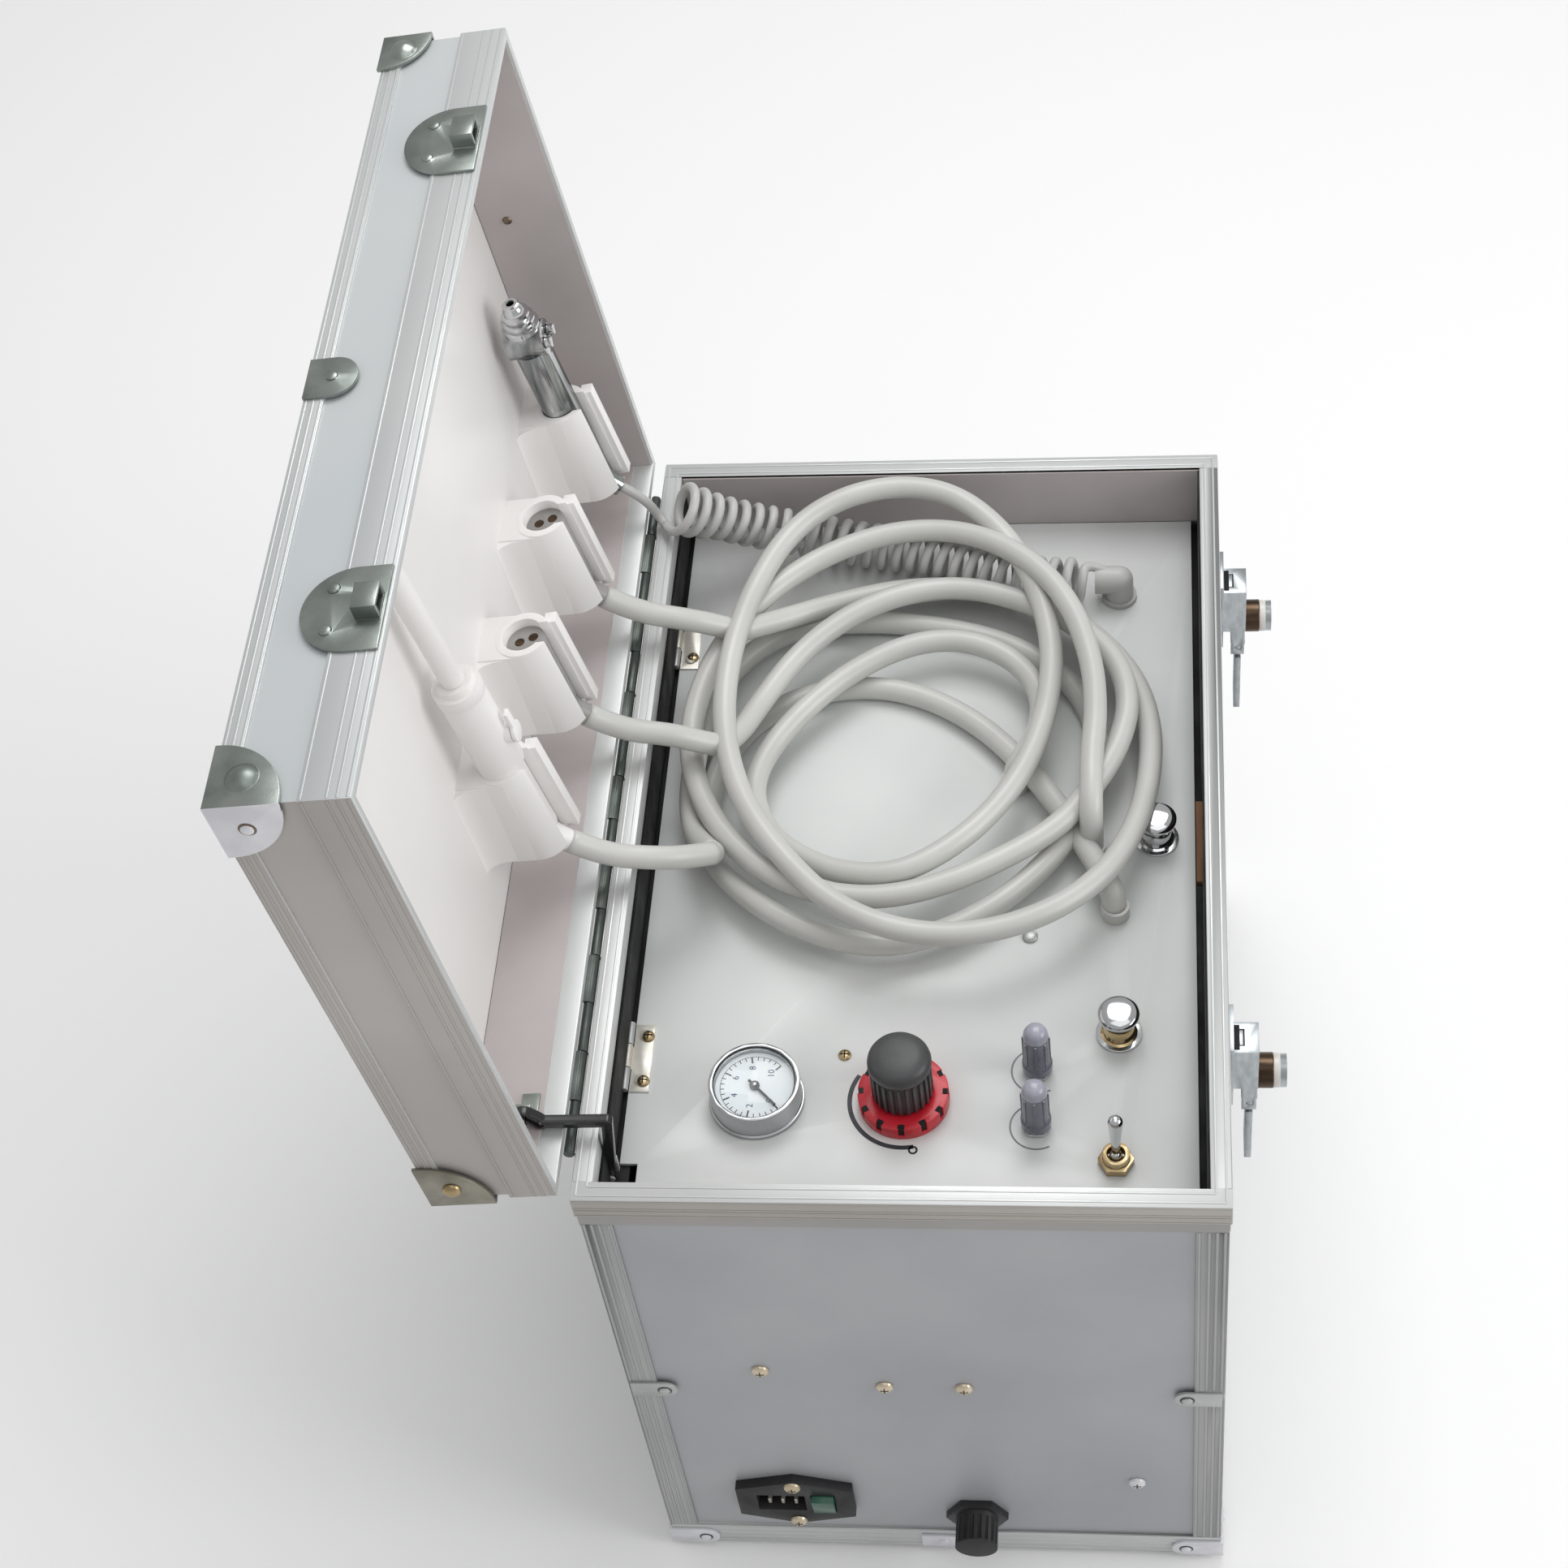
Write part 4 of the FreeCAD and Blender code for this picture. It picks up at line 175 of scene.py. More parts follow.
lamp("key_lamp", (0.1, 0.9, 2.0), (0, 0, 0.3), 1.0, 13)
lamp("side_lamp", (2.2, -0.5, 1.3), (0, 0, 0.4), 1.4, 22)
lamp("top_lamp", (0.3, -0.3, 2.7), (0, 0, 0.3), 1.8, 9)

# %% [markdown]
# Cords come next, because everything else has to leave room for them. Each is a smooth
# NURBS line through listed points, made a mesh tube.

# %% Helpers for cords
HOSE_RADIUS = 5.6 * MM
LEAD_RADIUS = 2.4 * MM
COIL_OUTER_RADIUS = 12 * MM
TUBE_ROUNDNESS = 6


def nurbs_curve(name, points):
    """A curve object with one open NURBS spline that starts and ends on its end points."""
    data = bpy.data.curves.new(name, "CURVE")
    data.dimensions = "3D"
    data.resolution_u = 8
    spline = data.splines.new("NURBS")
    spline.points.add(len(points) - 1)
    for control, point in zip(spline.points, points):
        control.co = (*point, 1.0)
    spline.order_u = 3
    spline.use_endpoint_u = True
    line = bpy.data.objects.new(name, data)
    scene.collection.objects.link(line)
    return line


def points_along(line):
    """The points of the curve's own smooth line, read from it while it has no thickness."""
    thin = bpy.data.meshes.new_from_object(line)
    points = [vertex.co.copy() for vertex in thin.vertices]
    bpy.data.meshes.remove(thin)
    return points


def cord(name, route, radius):
    """A closed mesh tube along a NURBS line."""
    line = nurbs_curve(name + "_line", route)
    path = points_along(line)
    line.data.bevel_depth = radius
    line.data.bevel_resolution = TUBE_ROUNDNESS
    line.data.use_fill_caps = True
    mesh = bpy.data.meshes.new_from_object(line)
    tube = bpy.data.objects.new(name, mesh)
    scene.collection.objects.link(tube)
    bpy.data.objects.remove(line)
    shape = bmesh.new()
    shape.from_mesh(mesh)
    bmesh.ops.remove_doubles(shape, verts=shape.verts, dist=1e-6)
    bmesh.ops.recalc_face_normals(shape, faces=shape.faces)
    shape.to_mesh(mesh)
    shape.free()
    for face in mesh.polygons:
        face.use_smooth = True
    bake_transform(tube)
    return tube


# %% [markdown]
# Three grey hoses leave the bottoms of the tool holders, droop over the rim and go into the
# coil. This first stretch hangs between the lid and the case. Every cord leaves its holder
# down and out towards the user.

# %% The hoses between lid and coil
EXIT_OUT, EXIT_DOWN = 9.5, 57.5
LEAVING = (TOOL_FRONT * 9.5 - TOOL_UP * 11).normalized()
HOSE_STRAIGHT, LEAD_STRAIGHT = 19 * MM, 13 * MM


def tool_exit(holder):
    """Where the cord comes out of a tool's lower end."""
    return at_tool(holder, EXIT_OUT, -EXIT_DOWN)


CROSSINGS = {
    "hose_far_start": (2, "hose_run_1", [(22, 318, 11), (36, 321, 3), (46, 323, -4)]),
    "hose_middle_start": (1, "hose_run_2", [(22, 246, 11), (34, 248, 3), (44, 251, -4)]),
    "hose_near_start": (0, "hose_run_3", [(24, 174, 10), (36, 180, 3), (45, 188, -5)]),
}
for name, (holder, node, points) in CROSSINGS.items():
    start = tool_exit(holder)
    route = [start, start + LEAVING * HOSE_STRAIGHT] + [place(*point) for point in points]
    tube = cord(name, route, HOSE_RADIUS)
    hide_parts(node)

# %% [markdown]
# The coil is three hoses lying in loose oval turns, one over another. Turns that cross lie
# about one hose thickness apart in height: 33 mm below the rim for the lowest layer, then
# 23, 13 and 3. Each hose ends where it plunges into its own socket in the panel.

# %% The coil on the panel
COIL = {
    "hose_far": [
        (46, 323, -4), (64, 338, -14), (90, 358, -24), (130, 370, -26), (175, 366, -26),
        (212, 345, -26), (236, 315, -25), (247, 280, -23), (246, 236, -19), (234, 194, -14),
        (214, 166, -9), (187, 148, -6), (157, 141, -5), (127, 145, -4), (100, 160, -4),
        (78, 184, -3), (61, 208, -2), (49, 237, -2), (43, 270, -1), (44, 308, 0),
        (52, 346, 1), (67, 382, 2), (90, 405, 2), (120, 414, 2), (150, 408, 1),
        (176, 384, -4), (192, 353, -10), (200, 316, -13), (197, 275, -13), (187, 241, -12),
        (172, 215, -12), (152, 194, -12), (129, 181, -13), (102, 184, -15), (80, 197, -18),
        (64, 216, -21), (57, 240, -23), (63, 263, -23), (79, 288, -22), (101, 311, -21),
        (128, 328, -21), (154, 332, -22), (178, 322, -23), (194, 300, -24), (194, 276, -24),
        (186, 259, -23), (182, 253, -27), (182, 252, -33)],
    "hose_middle": [
        (44, 251, -4), (50, 262, -10), (58, 285, -15), (74, 318, -17), (97, 343, -17),
        (124, 358, -17), (154, 362, -17), (184, 354, -19), (210, 336, -16), (230, 312, -14),
        (237, 284, -13), (231, 255, -14), (218, 231, -15), (203, 210, -16), (176, 191, -16),
        (149, 176, -15), (121, 169, -15), (92, 172, -14), (68, 183, -13), (46, 206, -13),
        (31, 235, -13), (26, 266, -12), (30, 298, -11), (42, 330, -10), (62, 358, -9),
        (92, 380, -7), (126, 391, -6), (160, 386, -4), (190, 364, -2), (209, 335, -2),
        (219, 300, -3), (221, 270, -4), (219, 245, -5), (219, 228, -6), (219, 216, -12),
        (219, 212, -22), (219, 212, -33)],
    "hose_near": [
        (45, 188, -5), (35, 204, -19), (28, 227, -25), (27, 256, -26), (30, 290, -27),
        (42, 322, -28), (66, 345, -29), (100, 352, -31), (140, 350, -33), (178, 338, -33),
        (208, 314, -33), (222, 282, -33), (221, 246, -30), (207, 210, -27), (184, 180, -26),
        (158, 160, -25), (131, 150, -25), (107, 151, -24), (82, 160, -23), (58, 178, -24),
        (39, 204, -33), (34, 236, -33), (40, 268, -33), (58, 294, -33), (84, 308, -33),
        (113, 311, -33), (140, 303, -33), (166, 284, -32), (186, 260, -31), (204, 232, -29),
        (216, 208, -27), (225, 189, -24), (229, 180, -25), (230, 177, -33)],
}
for name, points in COIL.items():
    route = [place(*point) for point in points]
    tube = cord(name, route, HOSE_RADIUS)
    if name == "hose_far":
        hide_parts("hose_coil")

# %% [markdown]
# The curly cord is a thin lead wound into a helix, written as a loop: walk along a smooth
# middle line, and at each step go a little further round it. The first turns are looser. The
# helix starts at the bottom of a turn, where the lead comes in under it.

# %% The curly cord
CURL_TURNS, CURL_STEPS = 27.5, 14
CURL_RADIUS = COIL_OUTER_RADIUS - LEAD_RADIUS
LOOSE_TURNS, LOOSE_MORE = 3, 0.3
LEAD_TANGENT = 7 * MM
CURL_MIDDLE = [(12, 388, 15.5), (38, 396, -4), (66, 400, -17), (96, 399, -24.5), (128, 393, -25),
               (158, 382, -25), (188, 372, -25), (214, 372, -25)]
INTO_ELBOW = [(219, 375, -18), (227, 373, -22), (230, 372, -25)]
middle_line = nurbs_curve("curl_middle", [place(*point) for point in CURL_MIDDLE])
middle_points = points_along(middle_line)
bpy.data.objects.remove(middle_line)


def at_share(points, share):
    """The point and the direction at a share of the way along a line of points."""
    lengths = [0.0]
    for a, b in zip(points, points[1:]):
        lengths.append(lengths[-1] + (b - a).length)
    goal = min(share, 0.9999) * lengths[-1]
    index = max(i for i, length in enumerate(lengths[:-1]) if length <= goal)
    a, b = points[index], points[index + 1]
    return a.lerp(b, (goal - lengths[index]) / (b - a).length), (b - a).normalized()


steps = round(CURL_TURNS * CURL_STEPS)
helix = []
for step in range(steps + 1):
    middle, along = at_share(middle_points, step / steps)
    sideways = along.cross(Vector((0, 0, 1))).normalized()
    upright = sideways.cross(along).normalized()
    angle = math.pi - 2 * math.pi * step / CURL_STEPS
    loose = 1 + LOOSE_MORE * max(0, 1 - step / (LOOSE_TURNS * CURL_STEPS))
    helix.append(middle + (upright * math.cos(angle) + sideways * math.sin(angle))
                 * CURL_RADIUS * loose)
turns = helix + [place(*point) for point in INTO_ELBOW]

start = tool_exit(3)
before_helix = helix[0] - (helix[1] - helix[0]).normalized() * LEAD_TANGENT
lead = [start, start + LEAVING * LEAD_STRAIGHT, before_helix, helix[0]]
lead_tube = cord("curly_cord_start", lead, LEAD_RADIUS)
curly_tube = cord("curly_cord_turns", turns, LEAD_RADIUS)
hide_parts("curly_cord_lead")
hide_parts("curly_cord")

# %% [markdown]
# Finishes. Nothing real has one flat colour: plates and plastics are a little cloudy, brushed
# steel is drawn in one direction. Two node groups give these effects. Both blend a light and
# a dark tone by one noise, so one function builds what they share.

# %% Colour helper and the shared node groups
FLOAT, COLOR, VECTOR = "NodeSocketFloat", "NodeSocketColor", "NodeSocketVector"
MIX_A, MIX_B, MIX_COLOR_OUT = 6, 7, 2


def shade(red, green, blue):
    """A colour given as it looks on a screen, 0 to 255, turned into light values."""
    def light(value):
        value /= 255
        return value / 12.92 if value <= 0.04045 else ((value + 0.055) / 1.055) ** 2.4
    return (light(red), light(green), light(blue), 1.0)


def surface_group(name, own_sockets, detail, low, high):
    """A node group that blends two colours and two roughnesses by one noise.

    Its first own socket is the noise's scale. The blend runs while the noise goes from low
    to high. What the caller still has to link is returned too.
    """
    group = bpy.data.node_groups.new(name, "ShaderNodeTree")
    for label, kind in [("Light", COLOR), ("Dark", COLOR), *own_sockets,
                        ("Smooth", FLOAT), ("Rough", FLOAT)]:
        group.interface.new_socket(label, in_out="INPUT", socket_type=kind)
    for label, kind in (("Color", COLOR), ("Roughness", FLOAT), ("Height", FLOAT)):
        group.interface.new_socket(label, in_out="OUTPUT", socket_type=kind)
    nodes, link = group.nodes, group.links.new
    group_in, group_out = nodes.new("NodeGroupInput"), nodes.new("NodeGroupOutput")
    noise = nodes.new("ShaderNodeTexNoise")
    noise.inputs["Detail"].default_value = detail
    steeper = nodes.new("ShaderNodeMapRange")
    steeper.inputs["From Min"].default_value = low
    steeper.inputs["From Max"].default_value = high
    blend_colors = nodes.new("ShaderNodeMix")
    blend_colors.data_type = "RGBA"
    blend_rough = nodes.new("ShaderNodeMapRange")
    link(group_in.outputs[own_sockets[0][0]], noise.inputs["Scale"])
    link(noise.outputs[0], steeper.inputs["Value"])
    link(steeper.outputs[0], blend_colors.inputs[0])
    link(group_in.outputs["Light"], blend_colors.inputs[MIX_A])
    link(group_in.outputs["Dark"], blend_colors.inputs[MIX_B])
    link(blend_colors.outputs[MIX_COLOR_OUT], group_out.inputs["Color"])
    link(steeper.outputs[0], blend_rough.inputs["Value"])
    link(group_in.outputs["Smooth"], blend_rough.inputs["To Min"])
    link(group_in.outputs["Rough"], blend_rough.inputs["To Max"])
    link(blend_rough.outputs[0], group_out.inputs["Roughness"])
    return group, group_in, group_out, noise


cloudy, group_in, group_out, patches = surface_group(
    "cloudy_surface", [("Patch Scale", FLOAT), ("Grain Scale", FLOAT)], 4, 0.35, 0.65)
nodes, link = cloudy.nodes, cloudy.links.new
place_on = nodes.new("ShaderNodeTexCoord")
grain = nodes.new("ShaderNodeTexNoise")
grain.inputs["Detail"].default_value = 2
link(place_on.outputs["Object"], patches.inputs["Vector"])
link(place_on.outputs["Object"], grain.inputs["Vector"])
link(group_in.outputs["Grain Scale"], grain.inputs["Scale"])
link(grain.outputs[0], group_out.inputs["Height"])

drawn, group_in, group_out, lines = surface_group(
    "drawn_surface", [("Line Scale", FLOAT), ("Stretch", VECTOR)], 3, 0.3, 0.7)
nodes, link = drawn.nodes, drawn.links.new
place_on = nodes.new("ShaderNodeTexCoord")
stretched = nodes.new("ShaderNodeVectorMath")
stretched.operation = "MULTIPLY"
link(place_on.outputs["Object"], stretched.inputs[0])
link(group_in.outputs["Stretch"], stretched.inputs[1])
link(stretched.outputs[0], lines.inputs["Vector"])
link(lines.outputs[0], group_out.inputs["Height"])
print("groups", [group.name for group in bpy.data.node_groups])

# %% A maker for finishes
RELIEF_DEPTH, COAT_ROUGHNESS = 0.0002, 0.15
SHADER_SOCKETS = {"Metallic": 0.0, "Coat Weight": 0.0, "Transmission Weight": 0.0, "IOR": 1.46}
FINISHES = {}


def make_finishes(group, rows):
    """One material from each row: the group paints it, the shader holds what is constant.

    A row has the name, the group's sockets in their order, the bump, and then metal, coat,
    see-through and IOR as far as they are not as usual.
    """
    for name, light, dark, scale, second, smooth, rough, bump, *rest in rows:
        material = bpy.data.materials.new(name)
        material.use_nodes = True
        nodes, link = material.node_tree.nodes, material.node_tree.links.new
        shader = nodes["Principled BSDF"]
        surface = nodes.new("ShaderNodeGroup")
        surface.node_tree = group
        values = (shade(*light), shade(*dark), scale, second, smooth, rough)
        for socket, value in zip(surface.inputs, values):
            socket.default_value = value
        relief = nodes.new("ShaderNodeBump")
        relief.inputs["Strength"].default_value = bump
        relief.inputs["Distance"].default_value = RELIEF_DEPTH
        usual = list(SHADER_SOCKETS.values())[len(rest):]
        for label, value in zip(SHADER_SOCKETS, [*rest, *usual]):
            shader.inputs[label].default_value = value
        shader.inputs["Coat Roughness"].default_value = COAT_ROUGHNESS
        link(surface.outputs["Color"], shader.inputs["Base Color"])
        link(surface.outputs["Roughness"], shader.inputs["Roughness"])
        link(surface.outputs["Height"], relief.inputs["Height"])
        link(relief.outputs["Normal"], shader.inputs["Normal"])
        FINISHES[name] = material


# %% [markdown]
# Most finishes are cloudy. Wood, latches, ribs and syringe are drawn: their rows have a line
# scale and a stretch in place of the scales of patches and grain. The syringe's light and dark
# streaks along it are painted reflections.

# %% Finishes of the case and the lid
make_finishes(cloudy, [
    ("satin_extrusion", (204, 206, 205), (196, 198, 198), 9, 1400, 0.34, 0.44, 0.05, 0.4),
    # The rim's near front face, darker than the extrusion: painted shade.
    ("rim_front_painted_shade", (180, 176, 170), (172, 168, 163), 9, 1400, 0.4, 0.5, 0.05, 0.3),
    ("lid_extrusion", (209, 212, 211), (201, 204, 204), 9, 1400, 0.32, 0.42, 0.05, 0.4),
    # The lid's near end, darker and warmer: painted shade.
    ("lid_near_end_painted_shade", (186, 181, 177), (178, 173, 169), 9, 1400, 0.38, 0.48, 0.06, 0.35),
    ("laminate_grey", (176, 177, 180), (168, 169, 173), 9, 1400, 0.42, 0.5, 0.12, 0.25),
    ("lid_plate", (190, 192, 192), (182, 184, 185), 9, 1400, 0.38, 0.46, 0.08, 0.35),
    ("lining_taupe", (193, 186, 185), (183, 176, 175), 14, 1100, 0.45, 0.58, 0.15, 0.15),
    ("post_grey", (176, 177, 176), (168, 169, 169), 9, 1400, 0.36, 0.46, 0.06, 0.35),
    ("white_moulding", (245, 243, 242), (239, 237, 235), 8, 700, 0.3, 0.42, 0.06),
    ("panel_paint", (216, 218, 217), (208, 211, 210), 10, 1300, 0.34, 0.46, 0.08),
])

# %% Finishes of metal parts
make_finishes(cloudy, [
    # Plated steel, with its light blotches as painted reflections.
    ("plated_steel_painted_reflection", (170, 176, 172), (132, 139, 134), 55, 900, 0.22, 0.4, 0.06, 1),
    ("tab_white", (226, 226, 230), (212, 212, 217), 60, 900, 0.3, 0.42, 0.06, 0.2),
    ("tab_olive", (150, 146, 134), (122, 118, 107), 60, 900, 0.3, 0.42, 0.06, 0.8),
    ("hinge_shadow", (92, 98, 94), (74, 80, 77), 60, 900, 0.36, 0.5, 0.06, 0.8),
    ("bright_steel", (190, 192, 190), (176, 178, 177), 30, 1100, 0.36, 0.48, 0.06, 0.6),
    ("gauge_bezel", (184, 186, 188), (166, 168, 170), 30, 900, 0.18, 0.28, 0.02, 1),
    # The lid plate again, lighter on its upward top wall: painted light.
    ("lid_plate_painted_light", (208, 212, 213), (199, 204, 206), 9, 1400, 0.38, 0.46, 0.08, 0.3),
    ("chrome", (214, 215, 216), (200, 201, 203), 30, 900, 0.07, 0.14, 0.02, 1),
    ("brass", (190, 170, 132), (150, 128, 92), 60, 900, 0.26, 0.4, 0.08, 1),
    ("black_enamel", (30, 30, 32), (22, 22, 24), 30, 800, 0.2, 0.34, 0.05, 0, 0.4),
    ("cast_black", (44, 44, 46), (32, 32, 34), 25, 500, 0.45, 0.62, 0.4),
    ("nickel_tab", (214, 212, 204), (196, 192, 182), 80, 900, 0.34, 0.46, 0.08, 0.5),
])

# %% Finishes of plastic, rubber, print and glass
make_finishes(cloudy, [
    ("hose_grey", (202, 202, 198), (193, 193, 189), 20, 600, 0.31, 0.41, 0.05, 0, 0.12),
    ("lead_grey", (194, 194, 192), (180, 180, 178), 30, 700, 0.32, 0.44, 0.05, 0, 0.1),
    ("black_plastic", (38, 38, 40), (28, 28, 30), 40, 1200, 0.4, 0.55, 0.25),
    ("knob_grey", (74, 75, 76), (60, 61, 62), 40, 1200, 0.34, 0.48, 0.2),
    ("connector_grey", (158, 156, 153), (140, 138, 135), 40, 900, 0.3, 0.42, 0.08),
    ("red_plastic", (206, 30, 48), (184, 20, 38), 40, 900, 0.3, 0.42, 0.08, 0, 0.15),
    ("green_plastic", (28, 92, 72), (20, 74, 58), 40, 900, 0.25, 0.38, 0.05, 0, 0.2),
    ("smoky_plastic", (186, 187, 200), (168, 169, 184), 60, 700, 0.16, 0.28, 0.04, 0, 0.2, 0.25),
    ("smoky_dark", (120, 122, 134), (100, 102, 116), 60, 700, 0.2, 0.32, 0.04, 0, 0.2, 0.15),
    ("milky_plastic", (226, 230, 232), (212, 218, 222), 18, 600, 0.3, 0.42, 0.05, 0, 0, 0.25),
    ("foot_rubber", (44, 44, 44), (32, 32, 32), 60, 700, 0.7, 0.85, 0.5),
    ("dark_print", (58, 60, 66), (44, 46, 52), 60, 900, 0.45, 0.55, 0.02),
    ("grey_print", (132, 134, 138), (120, 122, 127), 60, 900, 0.45, 0.55, 0.02),
    ("dial_white", (246, 248, 250), (240, 243, 246), 60, 900, 0.35, 0.45, 0.02),
    ("dial_blue", (58, 84, 122), (46, 70, 106), 60, 900, 0.45, 0.55, 0.02),
    ("shadow_black", (14, 14, 15), (9, 9, 10), 60, 900, 0.6, 0.8, 0.05),
    ("lens", (250, 252, 252), (246, 249, 250), 30, 900, 0.02, 0.04, 0, 0, 0, 1, 1.3),
    ("band_taupe", (166, 164, 161), (158, 156, 153), 9, 1200, 0.4, 0.52, 0.1, 0.3),
    ("pale_brass", (206, 186, 146), (186, 162, 118), 40, 900, 0.14, 0.26, 0.04, 1),
    ("face_brass", (222, 210, 188), (200, 184, 156), 60, 900, 0.26, 0.38, 0.04, 0.6),
    ("pearl_cap", (222, 218, 212), (206, 202, 196), 60, 900, 0.24, 0.36, 0.04, 0, 0.3),
    ("dark_rivet_and_shade", (120, 106, 92), (90, 78, 66), 80, 900, 0.3, 0.45, 0.06, 0.9),
])

# %% Drawn finishes
make_finishes(drawn, [
    ("ledge_wood", (150, 108, 74), (112, 76, 48), 220, (1, 0.06, 1), 0.5, 0.7, 0.35),
    ("latch_nickel", (182, 187, 189), (160, 166, 170), 300, (1, 0.1, 0.4), 0.24, 0.38, 0.08, 0.9),
    # The syringe's streaks are painted reflections on its steel.
    ("syringe_steel_painted_reflection", (206, 208, 208), (84, 88, 90), 150, (1, 1, 0.06), 0.1, 0.22, 0.02, 1),
    ("rib_bright", (212, 214, 213), (202, 204, 204), 40, (1, 1, 1), 0.3, 0.42, 0.04, 0.4),
    ("barrel_brown_and_port_shade", (96, 78, 62), (58, 46, 38), 300, (0.1, 1, 1), 0.22, 0.36, 0.1, 0.9),
])
print("finishes", len(FINISHES))

# %% [markdown]
# The frame's nodes have the right shapes, but no real edge is as sharp as theirs. `dressed`
# copies a node, joins its loose triangles into clean faces, and rounds each edge with a
# small bevel that catches the light.

# %% The dressing helper
SHARP_EDGE = math.radians(32)
SMOOTH_UNDER = math.radians(30)
FLAT_UNDER = math.radians(1)
SAME_POINT = 2e-6


def select(*pieces):
    """Select these pieces alone and make the first one active."""
    bpy.ops.object.select_all(action="DESELECT")
    for piece in pieces:
        piece.select_set(True)
    bpy.context.view_layer.objects.active = pieces[0]


def smooth(piece, angle=SMOOTH_UNDER):
    """Shade a piece smooth, except at edges sharper than the angle."""
    select(piece)
    bpy.ops.object.shade_smooth_by_angle(angle=angle)


def merged_copy(node):
    """A copy of a frame node's mesh whose triangles share their corners."""
    mesh = frame["nodes"][node].data.copy()
    if "custom_normal" in mesh.attributes:
        mesh.attributes.remove(mesh.attributes["custom_normal"])
    mesh.materials.clear()
    shape = bmesh.new()
    shape.from_mesh(mesh)
    bmesh.ops.remove_doubles(shape, verts=shape.verts, dist=SAME_POINT)
    bmesh.ops.dissolve_limit(shape, angle_limit=FLAT_UNDER, verts=shape.verts,
                             edges=shape.edges)
    shape.to_mesh(mesh)
    shape.free()
    return mesh


def finished(piece, finish, body):
    """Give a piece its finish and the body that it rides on."""
    piece.data.materials.clear()
    piece.data.materials.append(FINISHES[finish])
    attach(piece, body)


def repaint(piece, finish, low, high):
    """Give another finish to the faces whose middle lies between two corners."""
    piece.data.materials.append(FINISHES[finish])
    low, high = place(*low), place(*high)
    inside = [face for face in piece.data.polygons
              if all(low[i] <= face.center[i] <= high[i] for i in range(3))]
    for face in inside:
        face.material_index = len(piece.data.materials) - 1
    return len(inside)


BODY_OF = {member: body for body, members in frame["record"]["behaviour"]["bodies"].items()
           for member in members}


def dressed(node, finish, width):
    """A node's stand-in with rounded edges and a finish, riding where the node rides."""
    piece = bpy.data.objects.new(node + "_dressed", merged_copy(node))
    scene.collection.objects.link(piece)
    if width:
        bevel = piece.modifiers.new("edges", "BEVEL")
        bevel.width = width * MM
        bevel.segments = 2
        bevel.limit_method = "ANGLE"
        bevel.angle_limit = SHARP_EDGE
        select(piece)
        bpy.ops.object.modifier_apply(modifier=bevel.name)
    smooth(piece)
    finished(piece, finish, BODY_OF[node])
    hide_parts(node)
    return piece


# %% [markdown]
# For each finish, the table names the nodes that have it and their bevel width in
# millimetres: large on mouldings, tiny on thin plates, none where the edge is sharp.

# %% Dress the case
DRESS = {
    "laminate_grey": {"case_floor": 0.3, "case_near_wall": 0, "case_far_wall": 0.3,
        "case_hinge_wall": 0.3, "case_latch_wall": 0.3},
    "satin_extrusion": {"case_frame": 0.45, "valve_manifold": 0.6},
    "bright_steel": {"case_fittings": 0.35, "hinge_case_leaf": 0.15, "case_brackets": 0.15,
        "hinge_lid_leaf": 0.15, "handle_mounts": 0.5, "panel_hardware": 0.3},
    "foot_rubber": {"rubber_feet": 0.8},
    "hinge_shadow": {"hinge_pin": 0.2},
    "latch_nickel": {"latch_bases": 0.6, "latch_lever_near": 0.5, "latch_lever_far": 0.5,
        "latch_hook_near": 0.4, "latch_hook_far": 0.4},
    # The panel's wooden ledges are painted shadow black.
    "shadow_black": {"panel_ledges": 0.6},
    "brass": {"front_screws": 0},
    "cast_black": {"compressor": 1.2},
    "milky_plastic": {"water_bottles": 1.5},
    "lid_plate": {"lid_skin": 0},
    "lid_extrusion": {"lid_frame": 0.5},
    "plated_steel_painted_reflection": {"lid_fittings": 0.35, "latch_catches": 0.4},
    "white_moulding": {"holder_board": 0.5, "instrument_holders": 1.2, "suction_handle": 0.8,
        "suction_tip": 0.3, "suction_valve": 0.5},
    "panel_paint": {"control_panel": 0.3},
    "chrome": {"valve_bases": 0.3, "toggle_lever": 0.2, "syringe_air_button": 0.5,
        "syringe_water_button": 0.5},
    "black_enamel": {"lid_stay_arm": 0.45},
    "black_plastic": {"carry_handle": 2.2, "power_inlet": 0.6, "foot_control_socket": 0.4},
    "green_plastic": {"power_rocker": 0.7},
    "syringe_steel_painted_reflection": {"syringe_body": 0.4},
    "connector_grey": {"hose_connectors": 0.5},
    "gauge_bezel": {"pressure_gauge": 0.4},
    "dark_print": {"gauge_needle": 0.1},
    "lens": {"gauge_lens": 0.15},
    "red_plastic": {"regulator_ring": 0.4},
}
DRESSED = {node: dressed(node, finish, width)
           for finish, widths in DRESS.items() for node, width in widths.items()}
for name in [*COIL, *CROSSINGS]:
    bpy.data.objects[name].data.materials.append(FINISHES["hose_grey"])
for tube in (curly_tube, lead_tube):
    tube.data.materials.append(FINISHES["lead_grey"])
print("dressed", len(DRESSED), "nodes")
